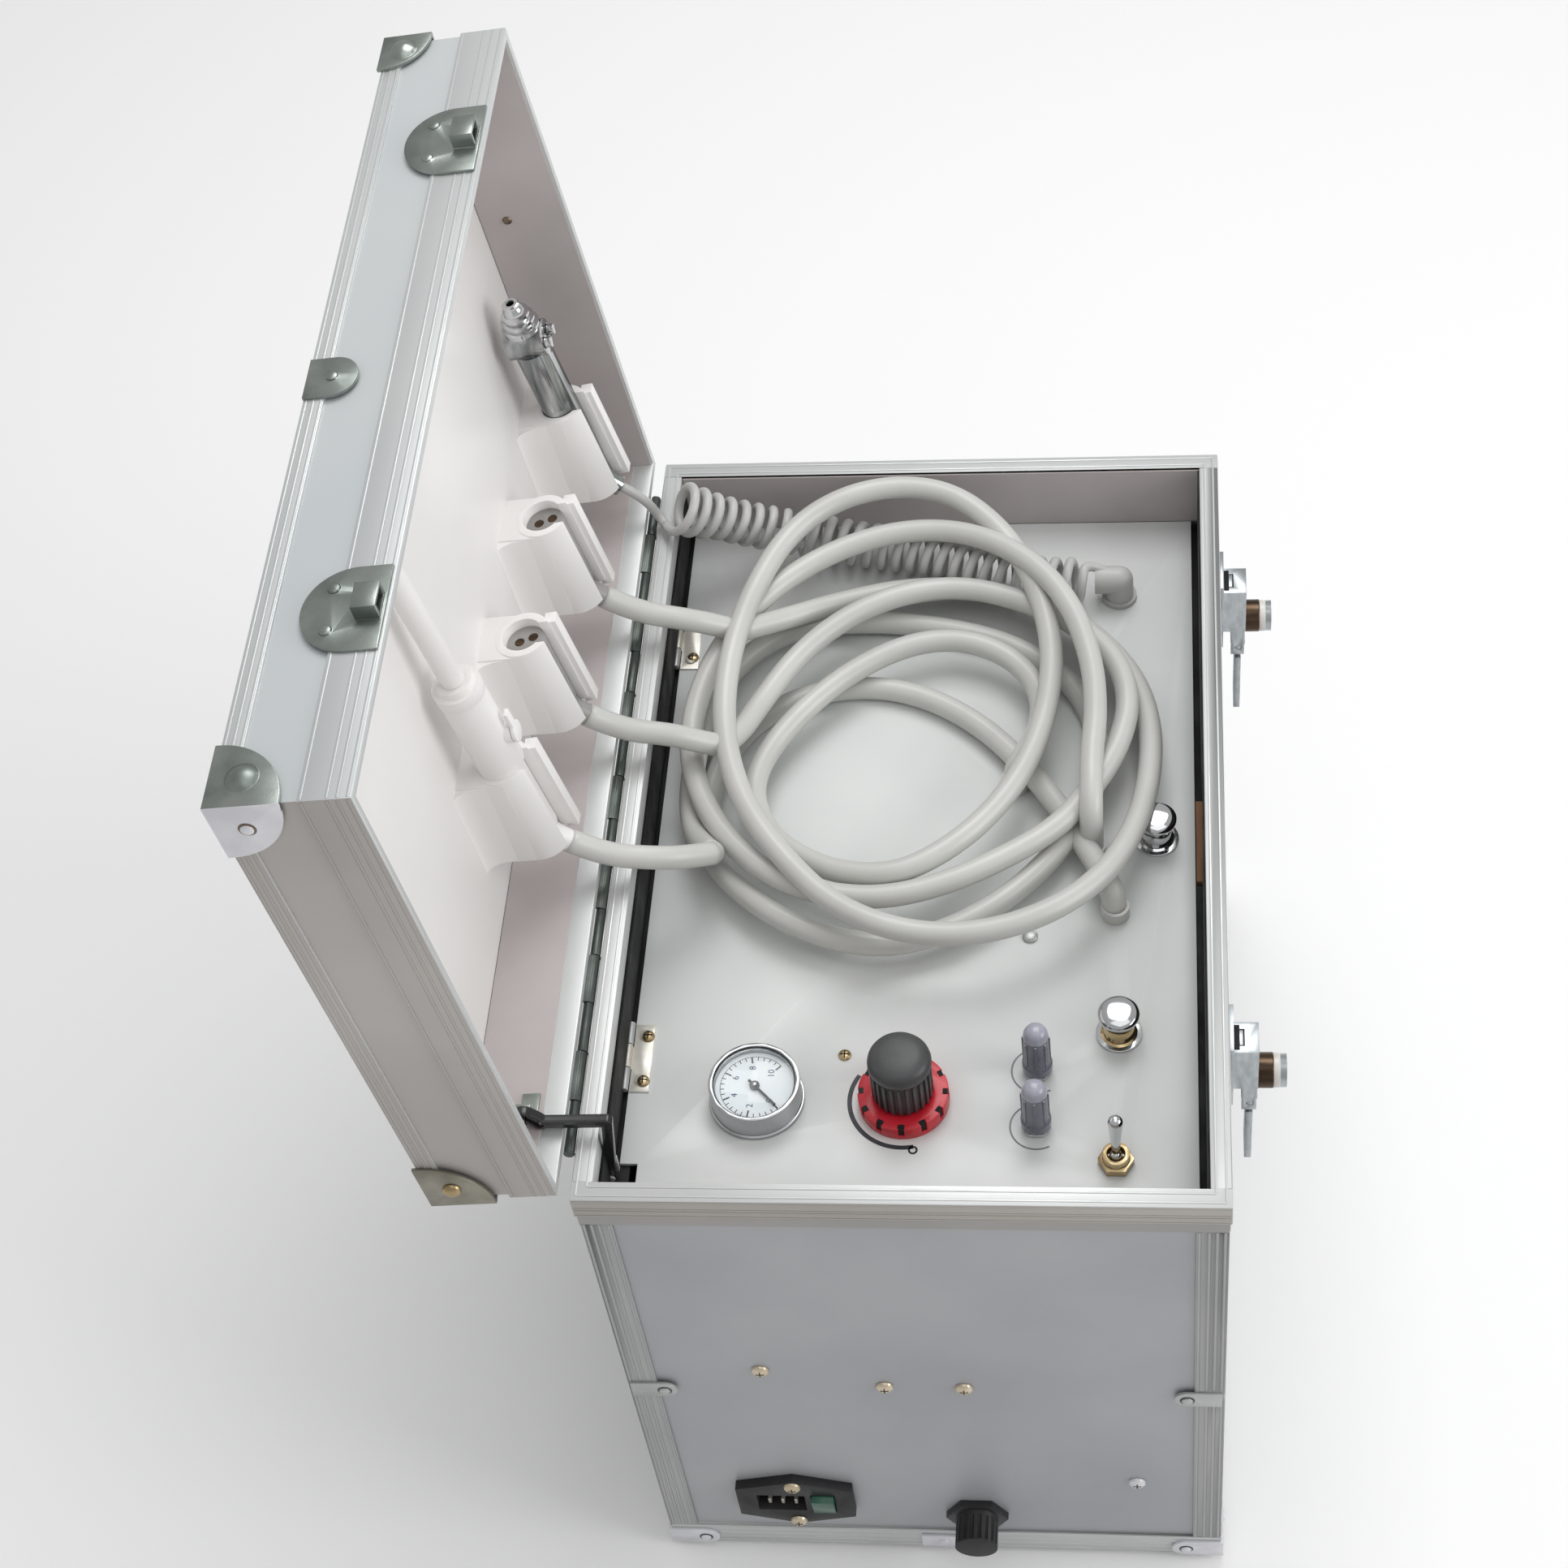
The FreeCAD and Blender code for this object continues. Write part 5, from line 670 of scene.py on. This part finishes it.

# %% [markdown]
# Some nodes hold parts of two stuffs. Their faces get a second finish by place: the toggle's
# nut is brass and the sleeves where the cords enter the panel are grey. Other second finishes
# are painted light and shade: the lid's near end has a darker, warmer painted shade, its top
# wall is lighter with painted light, and the rim's near front face has painted shade.

# %% Second finishes
REPAINTS = [
    # The lid's top wall gets painted light; its near end gets painted shade.
    ("lid_skin", "lid_plate_painted_light", (-100, 2, 262), (20, 440, 300)),
    ("lid_skin", "lid_near_end_painted_shade", (-120, -3, -20), (20, 4, 320)),
    ("lid_frame", "lid_near_end_painted_shade", (-120, -3, -20), (20, 1.3, 320)),
    ("lid_fittings", "tab_white", (-120, -4, 220), (20, 0.3, 320)),
    ("lid_fittings", "tab_olive", (-120, -4, -20), (20, 0.3, 60)),
    ("case_frame", "rim_front_painted_shade", (-1, -1, -13.9), (281, 0.3, -0.7)),
    ("case_frame", "post_grey", (-1, -1, -326), (281, 434, -22)),
    ("case_fittings", "tab_white", (-3, -3, -350), (283, 436, -318)),
    ("hinge_case_leaf", "hinge_shadow", (-5.6, 0, -3.8), (-0.5, 440, 1.4)),
    ("hinge_lid_leaf", "hinge_shadow", (-5.6, 0, -3.8), (-0.5, 440, 1.4)),
    ("valve_bases", "brass", (220, 33, -40), (243, 56, -25)),
    ("panel_hardware", "hose_grey", (166, 165, -50), (245, 262, -20)),
    ("panel_hardware", "lead_grey", (212, 355, -50), (250, 392, -10)),
    ("panel_hardware", "nickel_tab", (10, 60, -50), (30, 380, -20)),
]
painted = [repaint(DRESSED[node], finish, low, high) for node, finish, low, high in REPAINTS]
print("faces with a second finish", painted)

# %% [markdown]
# The dressed frame lacks ribs, linings, a printed dial and domed knobs. They are modelled
# from primitives, in millimetres, in the frame of the case, the lid or a tool. Each is then
# fitted: joined, moved home with its place baked into its mesh, and finished.

# %% Helpers for modelled pieces
CASE_HOME = Matrix.Translation(Vector((CASE_LEFT, CASE_NEAR, CASE_TOP)) * MM)
LID_HOME = Matrix((LID_UP, Vector((0, 1, 0)), LID_OUT)).transposed().to_4x4()
LID_HOME.translation = LID_CORNER * MM


def tool_home(holder):
    """The frame of a tool: x out to the user, y along the lid, z up the tool."""
    home = Matrix((TOOL_FRONT, Vector((0, 1, 0)), TOOL_UP)).transposed().to_4x4()
    home.translation = at_tool(holder, 0, 0)
    return home


def edit_all(operator, **settings):
    """Use one mesh operator on all of the active piece."""
    bpy.ops.object.mode_set(mode="EDIT")
    bpy.ops.mesh.select_all(action="SELECT")
    operator(**settings)
    bpy.ops.object.mode_set(mode="OBJECT")


def block(low, high, edge=0.3, segments=2):
    """A box between two corners in millimetres, with bevelled edges."""
    low, high = Vector(low), Vector(high)
    piece = added(bpy.ops.mesh.primitive_cube_add, size=1, location=(low + high) / 2 * MM)
    piece.scale = (high - low) * MM
    bake_place()
    if edge:
        edit_all(bpy.ops.mesh.bevel, offset=edge * MM, segments=segments, affect="EDGES")
        smooth(piece)
    return piece


def turned(profile, sides=48):
    """A round piece: a disc is extruded up the profile and resized at every step."""
    radius, height = profile[0]
    piece = added(bpy.ops.mesh.primitive_circle_add, vertices=sides, radius=radius * MM,
                  fill_type="NGON", location=(0, 0, height * MM))
    bake_place()
    bpy.ops.object.mode_set(mode="EDIT")
    bpy.ops.mesh.select_all(action="SELECT")
    for next_radius, next_height in profile[1:]:
        bpy.ops.mesh.extrude_region_move(
            TRANSFORM_OT_translate={"value": (0, 0, (next_height - height) * MM)})
        change = next_radius / radius
        bpy.ops.transform.resize(value=(change, change, 1),
                                 center_override=(0, 0, next_height * MM))
        radius, height = next_radius, next_height
    bpy.ops.object.mode_set(mode="OBJECT")
    edit_all(bpy.ops.mesh.normals_make_consistent, inside=False)
    smooth(piece)
    return piece


def moved(piece, spot, degrees=0, axis="Z"):
    """Turn a piece about its own origin, then move it by millimetres, all in its mesh."""
    piece.data.transform(Matrix.Translation(Vector(spot) * MM)
                         @ Matrix.Rotation(math.radians(degrees), 4, axis))
    return piece


def copied(piece, spot=(0, 0, 0)):
    """A copy with its own mesh, moved by millimetres."""
    twin = piece.copy()
    twin.data = piece.data.copy()
    scene.collection.objects.link(twin)
    return moved(twin, spot)


def ring_of(piece, count, centre=(0, 0, 0)):
    """The piece and its copies, evenly spaced round an upright line through the centre."""
    there = Matrix.Translation(Vector(centre) * MM)
    ring = [piece]
    for index in range(1, count):
        ring.append(copied(piece))
        turn = Matrix.Rotation(2 * math.pi * index / count, 4, "Z")
        ring[-1].data.transform(there @ turn @ there.inverted())
    return ring


def fitted(name, pieces, finish, body, home=None):
    """Join pieces, bring them home, bake their place into the mesh and finish them.

    Without a home given, it is the lid's frame on the lid and the case's elsewhere.
    """
    select(*pieces)
    if len(pieces) > 1:
        bpy.ops.object.join()
    piece = pieces[0]
    piece.name = name
    home = home or (LID_HOME if body == "lid" else CASE_HOME)
    piece.matrix_world = home @ piece.matrix_world
    bake_place()
    finished(piece, finish, body)
    return piece


# %% [markdown]
# Linings. Thin taupe sheets are laid on the walls of the lid and the well, black sheets beside
# the panel are painted shadow in the gap, and a short length of the ledge shows its bare wood.

# %% Linings of the lid and the well
LININGS = [
    ("lid_lining", "lining_taupe", "lid", 0.1, [
        ((4, 426.2, 1.2), (275.1, 427.05, 41.8)), ((4, 3.95, 1.2), (275.1, 4.8, 41.8)),
        ((3.95, 4.9, 10), (4.8, 426.1, 41.8)), ((274.4, 4.9, 10), (275.25, 426.1, 41.8))]),
    ("well_lining", "lining_taupe", "case", 0.1, [
        ((9.4, 423.1, -38), (270.6, 423.95, -1.2)), ((9.4, 9.05, -38), (270.6, 9.9, -1.2))]),
    ("rim_band", "band_taupe", "case", 0.1, [
        ((1, 0.7, -21.7), (279, 1.3, -14.2)), ((1, 431.7, -21.7), (279, 432.3, -14.2)),
        ((0.7, 1.4, -21.7), (1.3, 431.6, -14.2)), ((278.7, 1.4, -21.7), (279.3, 431.6, -14.2))]),
    ("gap_painted_shadow", "shadow_black", "case", 0.2, [
        ((9, 10, -38), (9.95, 423, -14.1)), ((270.1, 10, -38), (272.5, 195.4, -12.1)),
        ((270.1, 242.9, -38), (272.5, 423, -12.1)),
        ((271.8, 195, -37.9), (272.5, 243.3, -12.1)),
        ((270.1, 10, -12), (271, 423, -1))]),
]
for name, finish, body, edge, sheets in LININGS:
    sheets = [block(low, high, edge, 1) for low, high in sheets]
    fitted(name, sheets, finish, body)
wood = block((267.4, 195.6, -58), (272.3, 242.7, -38.2), 0.2)
fitted("ledge_bare_wood", [wood], "ledge_wood", "case")
print("linings", [row[0] for row in LININGS])

# %% [markdown]
# Ribs. Fine ridges along the extrusions give the edges of the case their look. Each is a
# long thin bar with rounded edges, sunk so that a low ridge is left.

# %% Ribs on the lid's extrusions
LID_WIDTH, LID_LENGTH = 279.2, 431
RIB_HALF, RIB_RISE, RIB_SUNK, RIB_EDGE, RIB_END = 0.6, 0.22, 0.3, 0.4, 0.6
LID_RIBS = (1.6, 5.6, 9.6, 19.6, 47.2, 50.4, 53.6)


def ribs_round(width, length, inset, levels):
    """Ribs along the four sides of a box, at each level."""
    right, far = width - inset, length - inset
    ribs = []
    for low, high in (
            ((RIB_END, inset - RIB_RISE), (width - RIB_END, inset + RIB_SUNK)),
            ((RIB_END, far - RIB_SUNK), (width - RIB_END, far + RIB_RISE)),
            ((inset - RIB_RISE, RIB_END), (inset + RIB_SUNK, length - RIB_END)),
            ((right - RIB_SUNK, RIB_END), (right + RIB_RISE, length - RIB_END))):
        ribs += [block((*low, level - RIB_HALF), (*high, level + RIB_HALF), RIB_EDGE)
                 for level in levels]
    return ribs


lid_ribs = ribs_round(LID_WIDTH, LID_LENGTH, 0, LID_RIBS)
print("lid ribs", len(lid_ribs))
piece = fitted("lid_extrusion_ribs", lid_ribs, "lid_extrusion", "lid")
# The ribs' near end gets the same painted shade.
repaint(piece, "lid_near_end_painted_shade", (-120, -3, -20), (20, 1.3, 320))

# %% Ribs on the rim and the posts
RIM_RIBS, BASE_RIBS, BASE_INSET = (-1.2, -7.2, -9.2, -13), (-343, -338, -333, -328.5), 1.2
LIP_RIBS, LIP_HALF, LIP_LOW, LIP_HIGH = (2.4, 6.8), 0.5, -0.3, 0.35
POST_RIBS, POST_HALF, POST_LOW, POST_HIGH = (2.6, 6, 9.4, 13.6), 0.7, -326.8, -22.4

case_ribs = ribs_round(CASE_WIDTH, CASE_LENGTH, 0, RIM_RIBS)
case_ribs += ribs_round(CASE_WIDTH, CASE_LENGTH, BASE_INSET, BASE_RIBS)
for inset in LIP_RIBS:
    right, far = CASE_WIDTH - inset, CASE_LENGTH - inset
    for low, high in (((inset - LIP_HALF, inset), (inset + LIP_HALF, far)),
                      ((right - LIP_HALF, inset), (right + LIP_HALF, far)),
                      ((inset, inset - LIP_HALF), (right, inset + LIP_HALF)),
                      ((inset, far - LIP_HALF), (right, far + LIP_HALF))):
        case_ribs.append(block((*low, LIP_LOW), (*high, LIP_HIGH)))
print("case ribs", len(case_ribs))
piece = fitted("case_extrusion_ribs", case_ribs, "rib_bright", "case")
# The ribs on the rim's near front face get the same painted shade.
repaint(piece, "rim_front_painted_shade", (-1, -2, -14), (281, 0.4, -0.6))

post_ribs = []
for right in (False, True):
    for far in (False, True):
        face_x = CASE_WIDTH - BASE_INSET if right else BASE_INSET - RIB_RISE
        face_y = CASE_LENGTH - BASE_INSET if far else BASE_INSET - RIB_RISE
        for rib in POST_RIBS:
            x = CASE_WIDTH - rib if right else rib
            y = CASE_LENGTH - rib if far else rib
            for low, high in (((x - POST_HALF, face_y), (x + POST_HALF, face_y + RIB_RISE)),
                              ((face_x, y - POST_HALF), (face_x + RIB_RISE, y + POST_HALF))):
                post_ribs.append(block((*low, POST_LOW), (*high, POST_HIGH), 0.25, 1))
print("post ribs", len(post_ribs))
fitted("post_ribs", post_ribs, "post_grey", "case")

# %% [markdown]
# The gauge. Its dial is a white disc with a printed scale. Its top points to the hinge, so
# the scale starts at the near right and runs clockwise. Numbers are text made into meshes,
# and ticks are thin blocks.

# %% The gauge's dial
DIAL = Vector((71, 75, -28))
SCALE_START, SCALE_SWEEP = 135, 270
TICK_STEPS, ARC_STEPS, NUMBER_STEPS = 25, 60, 5
TICK_OUTER, NUMBER_REACH, NUMBER_SIZE, ARC_SHIFT = 15, 9.6, 4, 2.2
DIAL_PRINT, NUMBER_LIFT = 0.18, 0.27

dial = moved(turned([(17.4, 0), (17.5, 0.1), (17.4, 0.22)], 64), DIAL)
fitted("gauge_dial", [dial], "dial_white", "panel")


def on_scale(share):
    """The angle of a share of the scale, in degrees clockwise from the far side."""
    return SCALE_START + SCALE_SWEEP * share


ticks = []
for step in range(TICK_STEPS + 1):
    half, inner = (0.32, 12) if step % 5 == 0 else (0.18, 13.4)
    tick = block((-half, inner, DIAL_PRINT), (half, TICK_OUTER, 0.32), 0)
    ticks.append(moved(tick, DIAL, -on_scale(step / TICK_STEPS)))
for step in range(ARC_STEPS):
    arc = block((-0.42, TICK_OUTER, DIAL_PRINT), (0.42, TICK_OUTER + 0.3, 0.3), 0)
    ticks.append(moved(arc, DIAL, -on_scale(step / ARC_STEPS) - ARC_SHIFT))
fitted("dial_ticks", ticks, "dark_print", "panel")


def printed_number(text, spot):
    """A flat number whose top points to the hinge, made a mesh before it is placed."""
    number = added(bpy.ops.object.text_add, location=(0, 0, 0))
    number.data.body = text
    number.data.align_x = number.data.align_y = "CENTER"
    number.data.size = NUMBER_SIZE * MM
    number.data.extrude = 0.04 * MM
    number.data.resolution_u = 3
    bpy.ops.object.convert(target="MESH")
    return moved(bpy.context.active_object, spot, 90)


numbers = []
for step in range(NUMBER_STEPS + 1):
    angle = math.radians(on_scale(step / NUMBER_STEPS))
    from_middle = Vector((math.sin(angle), math.cos(angle), 0)) * NUMBER_REACH
    spot = DIAL + from_middle + Vector((0, 0, NUMBER_LIFT))
    numbers.append(printed_number(str(step * 2), spot))
fitted("dial_numbers", numbers, "dial_blue", "panel")
print("dial ticks", len(ticks), "numbers", len(numbers))

# %% [markdown]
# Knobs. The regulator's has a fluted waist and a smooth head, the flow knobs are smoky
# plastic, and the push buttons are polished mushrooms on brass and chrome collars. All are
# turned shapes, drawn as a profile of radius and height.

# %% The regulator knob
REGULATOR = (137, 75, 0)
grip = turned([
    (12.4, -29.4), (12.7, -29), (12.7, -9.6), (13.2, -8.6), (13.9, -8), (14.2, -7.2),
    (14.2, -5.6), (13.9, -4), (13, -2.3), (11.2, -1.1), (8.2, -0.4), (4, -0.08),
    (0.4, -0.02)], 64)
flutes = ring_of(block((12.2, -0.8, -29.2), (13.8, 0.8, -9), 0.5), 24)
grip = [moved(part, REGULATOR) for part in (grip, *flutes)]
knob = fitted("regulator_grip", grip, "knob_grey", "regulator_knob")
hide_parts("regulator_knob")

# The notches in the red ring are dark blocks: painted shadow in the recesses.
notch = moved(block((-1.5, -19.6, -35.4), (1.5, -17.6, -29.9), 0), REGULATOR)
fitted("ring_notches", ring_of(notch, 12, REGULATOR), "shadow_black", "panel")

# %% The flow knobs
FLOW_KNOBS = {"flow_knob_far": (196, 91, 0), "flow_knob_near": (196, 62, 0)}
for node, spot in FLOW_KNOBS.items():
    grip = turned([
        (6.5, -34.5), (6.8, -34.2), (6.8, -30.2), (6.2, -29.4), (5.9, -28), (5.7, -9.6),
        (5.4, -7.6), (4.6, -5.8), (3.3, -4.6), (1.7, -4.1), (0.2, -4.02)], 32)
    ribs = ring_of(block((5.4, -0.55, -28.6), (6.3, 0.55, -10.5)), 8)
    grip = [moved(part, spot) for part in (grip, *ribs)]
    knob = fitted(node + "_grip", grip, "smoky_plastic", node)
    repaint(knob, "smoky_dark", (180, 40, -40), (210, 110, -17))
    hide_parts(node)

# %% The push buttons
for node, spot, collar_finish in (("button_cap_near", (232, 111, 0), "pale_brass"),
                                  ("button_cap_far", (249, 220, 0), "chrome")):
    cap = moved(turned([
        (2.5, -34.8), (2.5, -23.6), (8.6, -23.5), (9.2, -23.1), (9.4, -22.4), (9.3, -21.4),
        (8.6, -20.4), (7.2, -19.7), (5, -19.25), (2.5, -19.05), (0.3, -19)]), spot)
    cap = fitted(node + "_mushroom", [cap], "chrome", node)
    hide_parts(node)
    collar = moved(turned([
        (8, -38), (8.3, -37.6), (8.3, -36.6), (7.2, -36), (7, -34), (7, -29.4),
        (6.6, -28.6), (3.4, -28.5), (3.3, -28.8)]), spot)
    fitted(node + "_collar", [collar], collar_finish, "panel")
print("knobs and buttons done")

# %% [markdown]
# Printed marks. A bold arc bends round the regulator and thin arcs round the flow knobs.
# Each is a row of short flat blocks, a hair above the paint.

# %% Printed arcs
PRINT_LOW, PRINT_HIGH, PRINT_OVERLAP = -38.03, -37.93, 1.06


def arc_marks(centre, radius, width, start, sweep, steps):
    """A printed arc from short flat blocks that overlap a little."""
    length = math.radians(abs(sweep) / steps) * (radius + width / 2) * PRINT_OVERLAP
    marks = []
    for step in range(steps):
        mark = block((-length / 2, radius - width / 2, PRINT_LOW),
                     (length / 2, radius + width / 2, PRINT_HIGH), 0)
        marks.append(moved(mark, centre, -(start + sweep * (step + 0.5) / steps)))
    return marks


marks = arc_marks(REGULATOR, 24.4, 2.1, 168, 134, 36)
marks += arc_marks((REGULATOR[0] + 5, REGULATOR[1] - 25.6, 0), 1.7, 0.9, 0, 360, 14)
for spot in FLOW_KNOBS.values():
    marks += arc_marks(spot, 11.6, 0.8, 150, 190, 30)
piece = fitted("printed_arcs", marks, "dark_print", "panel")
repaint(piece, "grey_print", (180, 40, -40), (212, 110, -37))
print("printed marks", len(marks))

# %% [markdown]
# Small metal: screws, dark discs round the rivets of the corner tabs, and a rivet in the lid.
# Each pattern is made once and copied to its places. A screw's cross is a dark piece on its
# head, painted shade in its slot; the discs are painted shade round the rivets' bases.

# %% Patterns for screws, rivets and painted rivet shade


def screw_cross(reach, half, low, high):
    """The two bars of a screw's cross."""
    return [block((-reach, -half, low), (reach, half, high), 0),
            block((-half, -reach, low), (half, reach, high), 0)]


SCREW = turned([(2.8, 0), (3, 0.3), (2.8, 1), (2.2, 1.5), (1.2, 1.75), (0.2, 1.8)], 24)
HEAD = turned([(3.9, 0), (4.2, 0.4), (3.9, 1.4), (3, 2.2), (1.6, 2.65), (0.2, 2.75)], 28)
RIVET_SHADE_DISC = turned([(3.5, 0), (3.5, 0.2), (3.2, 0.35), (0.2, 0.36)], 28)
RIVET = turned([(2.2, 0), (2.3, 0.3), (1.9, 0.9), (1, 1.2), (0.2, 1.25)], 20)
SCREW_CROSS = screw_cross(2, 0.3, 1.5, 1.95)
HEAD_CROSS = screw_cross(1.9, 0.35, 2.3, 2.8)
for pattern in (HEAD, RIVET_SHADE_DISC, RIVET, *HEAD_CROSS):
    moved(pattern, (0, 0, 0), 90, "X")

# %% Screws, rivets and painted rivet shade in their places
PANEL_SPOTS = [(18.4, 107.5, -37.2), (18.4, 83.5, -37.2), (18.4, 358, -37.2),
               (18.4, 334, -37.2), (109, 98.5, -38.2)]
BRASS_SPOTS = [(65, 2.6, -158), (122, 2.6, -172), (159, 2.6, -172),
               (69, -2.4, -272.2), (69, -2.4, -309.8)]
BRIGHT_SPOTS = [(238, 2.6, -268)]
TAB_SPOTS = [(18.2, -0.3, -338), (261.8, -0.3, -338), (18.2, -0.3, -175),
             (261.8, -0.3, -175)]
RIVET_SPOTS = [(174, 426.3, 29)]
LOW_CORNER, TOP_CORNER = [(11.76, -1.5, 43.24)], [(267.44, -1.5, 43.24)]
SMALL_METAL = [
    ("panel_screws", [SCREW], PANEL_SPOTS, "brass", "panel", "valve_brass"),
    ("panel_screw_slots", SCREW_CROSS, PANEL_SPOTS, "shadow_black", "panel", "valve_brass"),
    ("lid_wall_rivets", [RIVET], RIVET_SPOTS, "dark_rivet_and_shade", "lid", "fitting_steel"),
    ("face_screws", [HEAD], BRASS_SPOTS, "face_brass", "case", "valve_brass"),
    ("lid_corner_screw", [HEAD], LOW_CORNER, "brass", "lid", "valve_brass"),
    ("face_screw_bright", [HEAD], BRIGHT_SPOTS, "tab_white", "case", "chrome_parts"),
    ("face_screw_slots", HEAD_CROSS, BRASS_SPOTS + BRIGHT_SPOTS, "dark_rivet_and_shade", "case",
     "valve_brass"),
    # Dark discs round the rivets' bases: painted shade.
    ("tab_rivet_shade", [RIVET_SHADE_DISC], TAB_SPOTS, "hinge_shadow", "case", "fitting_steel"),
    ("lid_tab_rivet_shade", [RIVET_SHADE_DISC], TOP_CORNER, "dark_rivet_and_shade", "lid", "fitting_steel"),
]
for name, patterns, spots, finish, body, slot in SMALL_METAL:
    copies = [copied(pattern, spot) for spot in spots for pattern in patterns]
    fitted(name, copies, finish, body)
for pattern in (SCREW, HEAD, RIVET_SHADE_DISC, RIVET, *SCREW_CROSS, *HEAD_CROSS):
    bpy.data.objects.remove(pattern)

blades = [block((x, 0.4, -297.6), (x + 1.6, 9, -292.8), 0.2, 1) for x in (54.6, 61.2, 67.8)]
fitted("inlet_blades", blades, "nickel_tab", "case")
print("small metal", [row[0] for row in SMALL_METAL])

# %% [markdown]
# Each latch barrel is a brown sleeve with a pearly domed cap. A small dark block above it
# stands for the shadow under the hook.

# %% Latch barrels
BARREL_PARTS = {
    "sleeve": ("barrel_brown_and_port_shade", [(7.7, 0), (8, 0.3), (8, 6.8), (7.7, 7.2), (7.55, 7.21)]),
    "dome": ("pearl_cap", [(7.6, 7.1), (7.7, 7.4), (7.7, 9.4), (7.2, 11.2), (5.8, 12.5),
                           (3.6, 13.2), (0.3, 13.35)]),
}
for side, latch_y in (("near", 91), ("far", 357)):
    shadow = block((280.4, latch_y - 6.4, -14), (284.6, latch_y + 6.4, -9.6), 0.2)
    fitted("latch_shadow_" + side, [shadow], "shadow_black", "case")
    for part, (finish, profile) in BARREL_PARTS.items():
        barrel = moved(turned(profile, 40), (292.6, latch_y, -36), 90, "Y")
        fitted("latch_%s_%s" % (part, side), [barrel], finish, "case")

# %% [markdown]
# On the tools, bright rings step down the syringe's head, and each bare hose connector
# shows two dark discs, painted shade in its two ports.

# %% Rings on the syringe's head
rings = turned([
    (8.4, 54), (9.2, 54.6), (9.3, 57.2), (7.4, 57.9), (7.3, 59.2), (8.3, 59.7), (8.3, 61),
    (6.1, 61.6), (6, 62.6), (6.9, 63.1), (6.9, 64.4), (5.2, 65), (4.9, 67.6), (4.3, 68.6),
    (4.2, 70.2), (3.6, 70.6), (2.1, 70.6), (2.1, 66)])
fitted("syringe_rings", [rings], "chrome", "lid", tool_home(3))

# %% Painted shade in the connectors' ports
PORT_SHADE = [(2.3, -2.1), (2.4, -1.98), (2.3, -1.9), (0.2, -1.89)]
for holder in (1, 2):
    ports = [moved(turned(PORT_SHADE, 24), spot) for spot in ((-3, 0, 0), (3.4, 2, 0))]
    fitted("connector_port_shade_%d" % holder, ports, "barrel_brown_and_port_shade", "lid",
           tool_home(holder))
print("rings on the syringe, ports in connectors")

# %% [markdown]
# The holders. A soft concave fillet joins each to the board. A unit block is cut into rows,
# and each row of points is moved to its place on a quarter circle.

# %% Fillets beside the holders
FILLET_REACH, FILLET_ROWS, FILLET_LOW, FILLET_HIGH, FILLET_OUT = 7, 8, 33, 86, 14
FILLET_THINNEST = 0.02
BOARD_DEPTH, HOLDER_HALF = 42.2, 13
for holder in range(4):
    piece = added(bpy.ops.mesh.primitive_cube_add, size=1, location=(0.5, 0.5, 0.5))
    bake_place()
    for row in range(1, FILLET_ROWS):
        edit_all(bpy.ops.mesh.bisect, plane_co=(0.5, row / FILLET_ROWS, 0.5),
                 plane_no=(0, 1, 0))
    for vertex in piece.data.vertices:
        s, y, up = vertex.co
        rise = max(1 - math.sqrt(max(0, 1 - y * y)), FILLET_THINNEST)
        vertex.co = Vector((FILLET_LOW + (FILLET_HIGH - FILLET_LOW) * s,
                            -FILLET_REACH * (1 - y), -up * FILLET_OUT * rise)) * MM
    smooth(piece, math.radians(40))
    holder_side = HOLDER_FIRST + HOLDER_STEP * holder - HOLDER_HALF
    moved(piece, (0, holder_side, BOARD_DEPTH))
    edit_all(bpy.ops.mesh.normals_make_consistent, inside=False)
    fitted("holder_fillet_%d" % holder, [piece], "white_moulding", "lid")
print("fillets done")
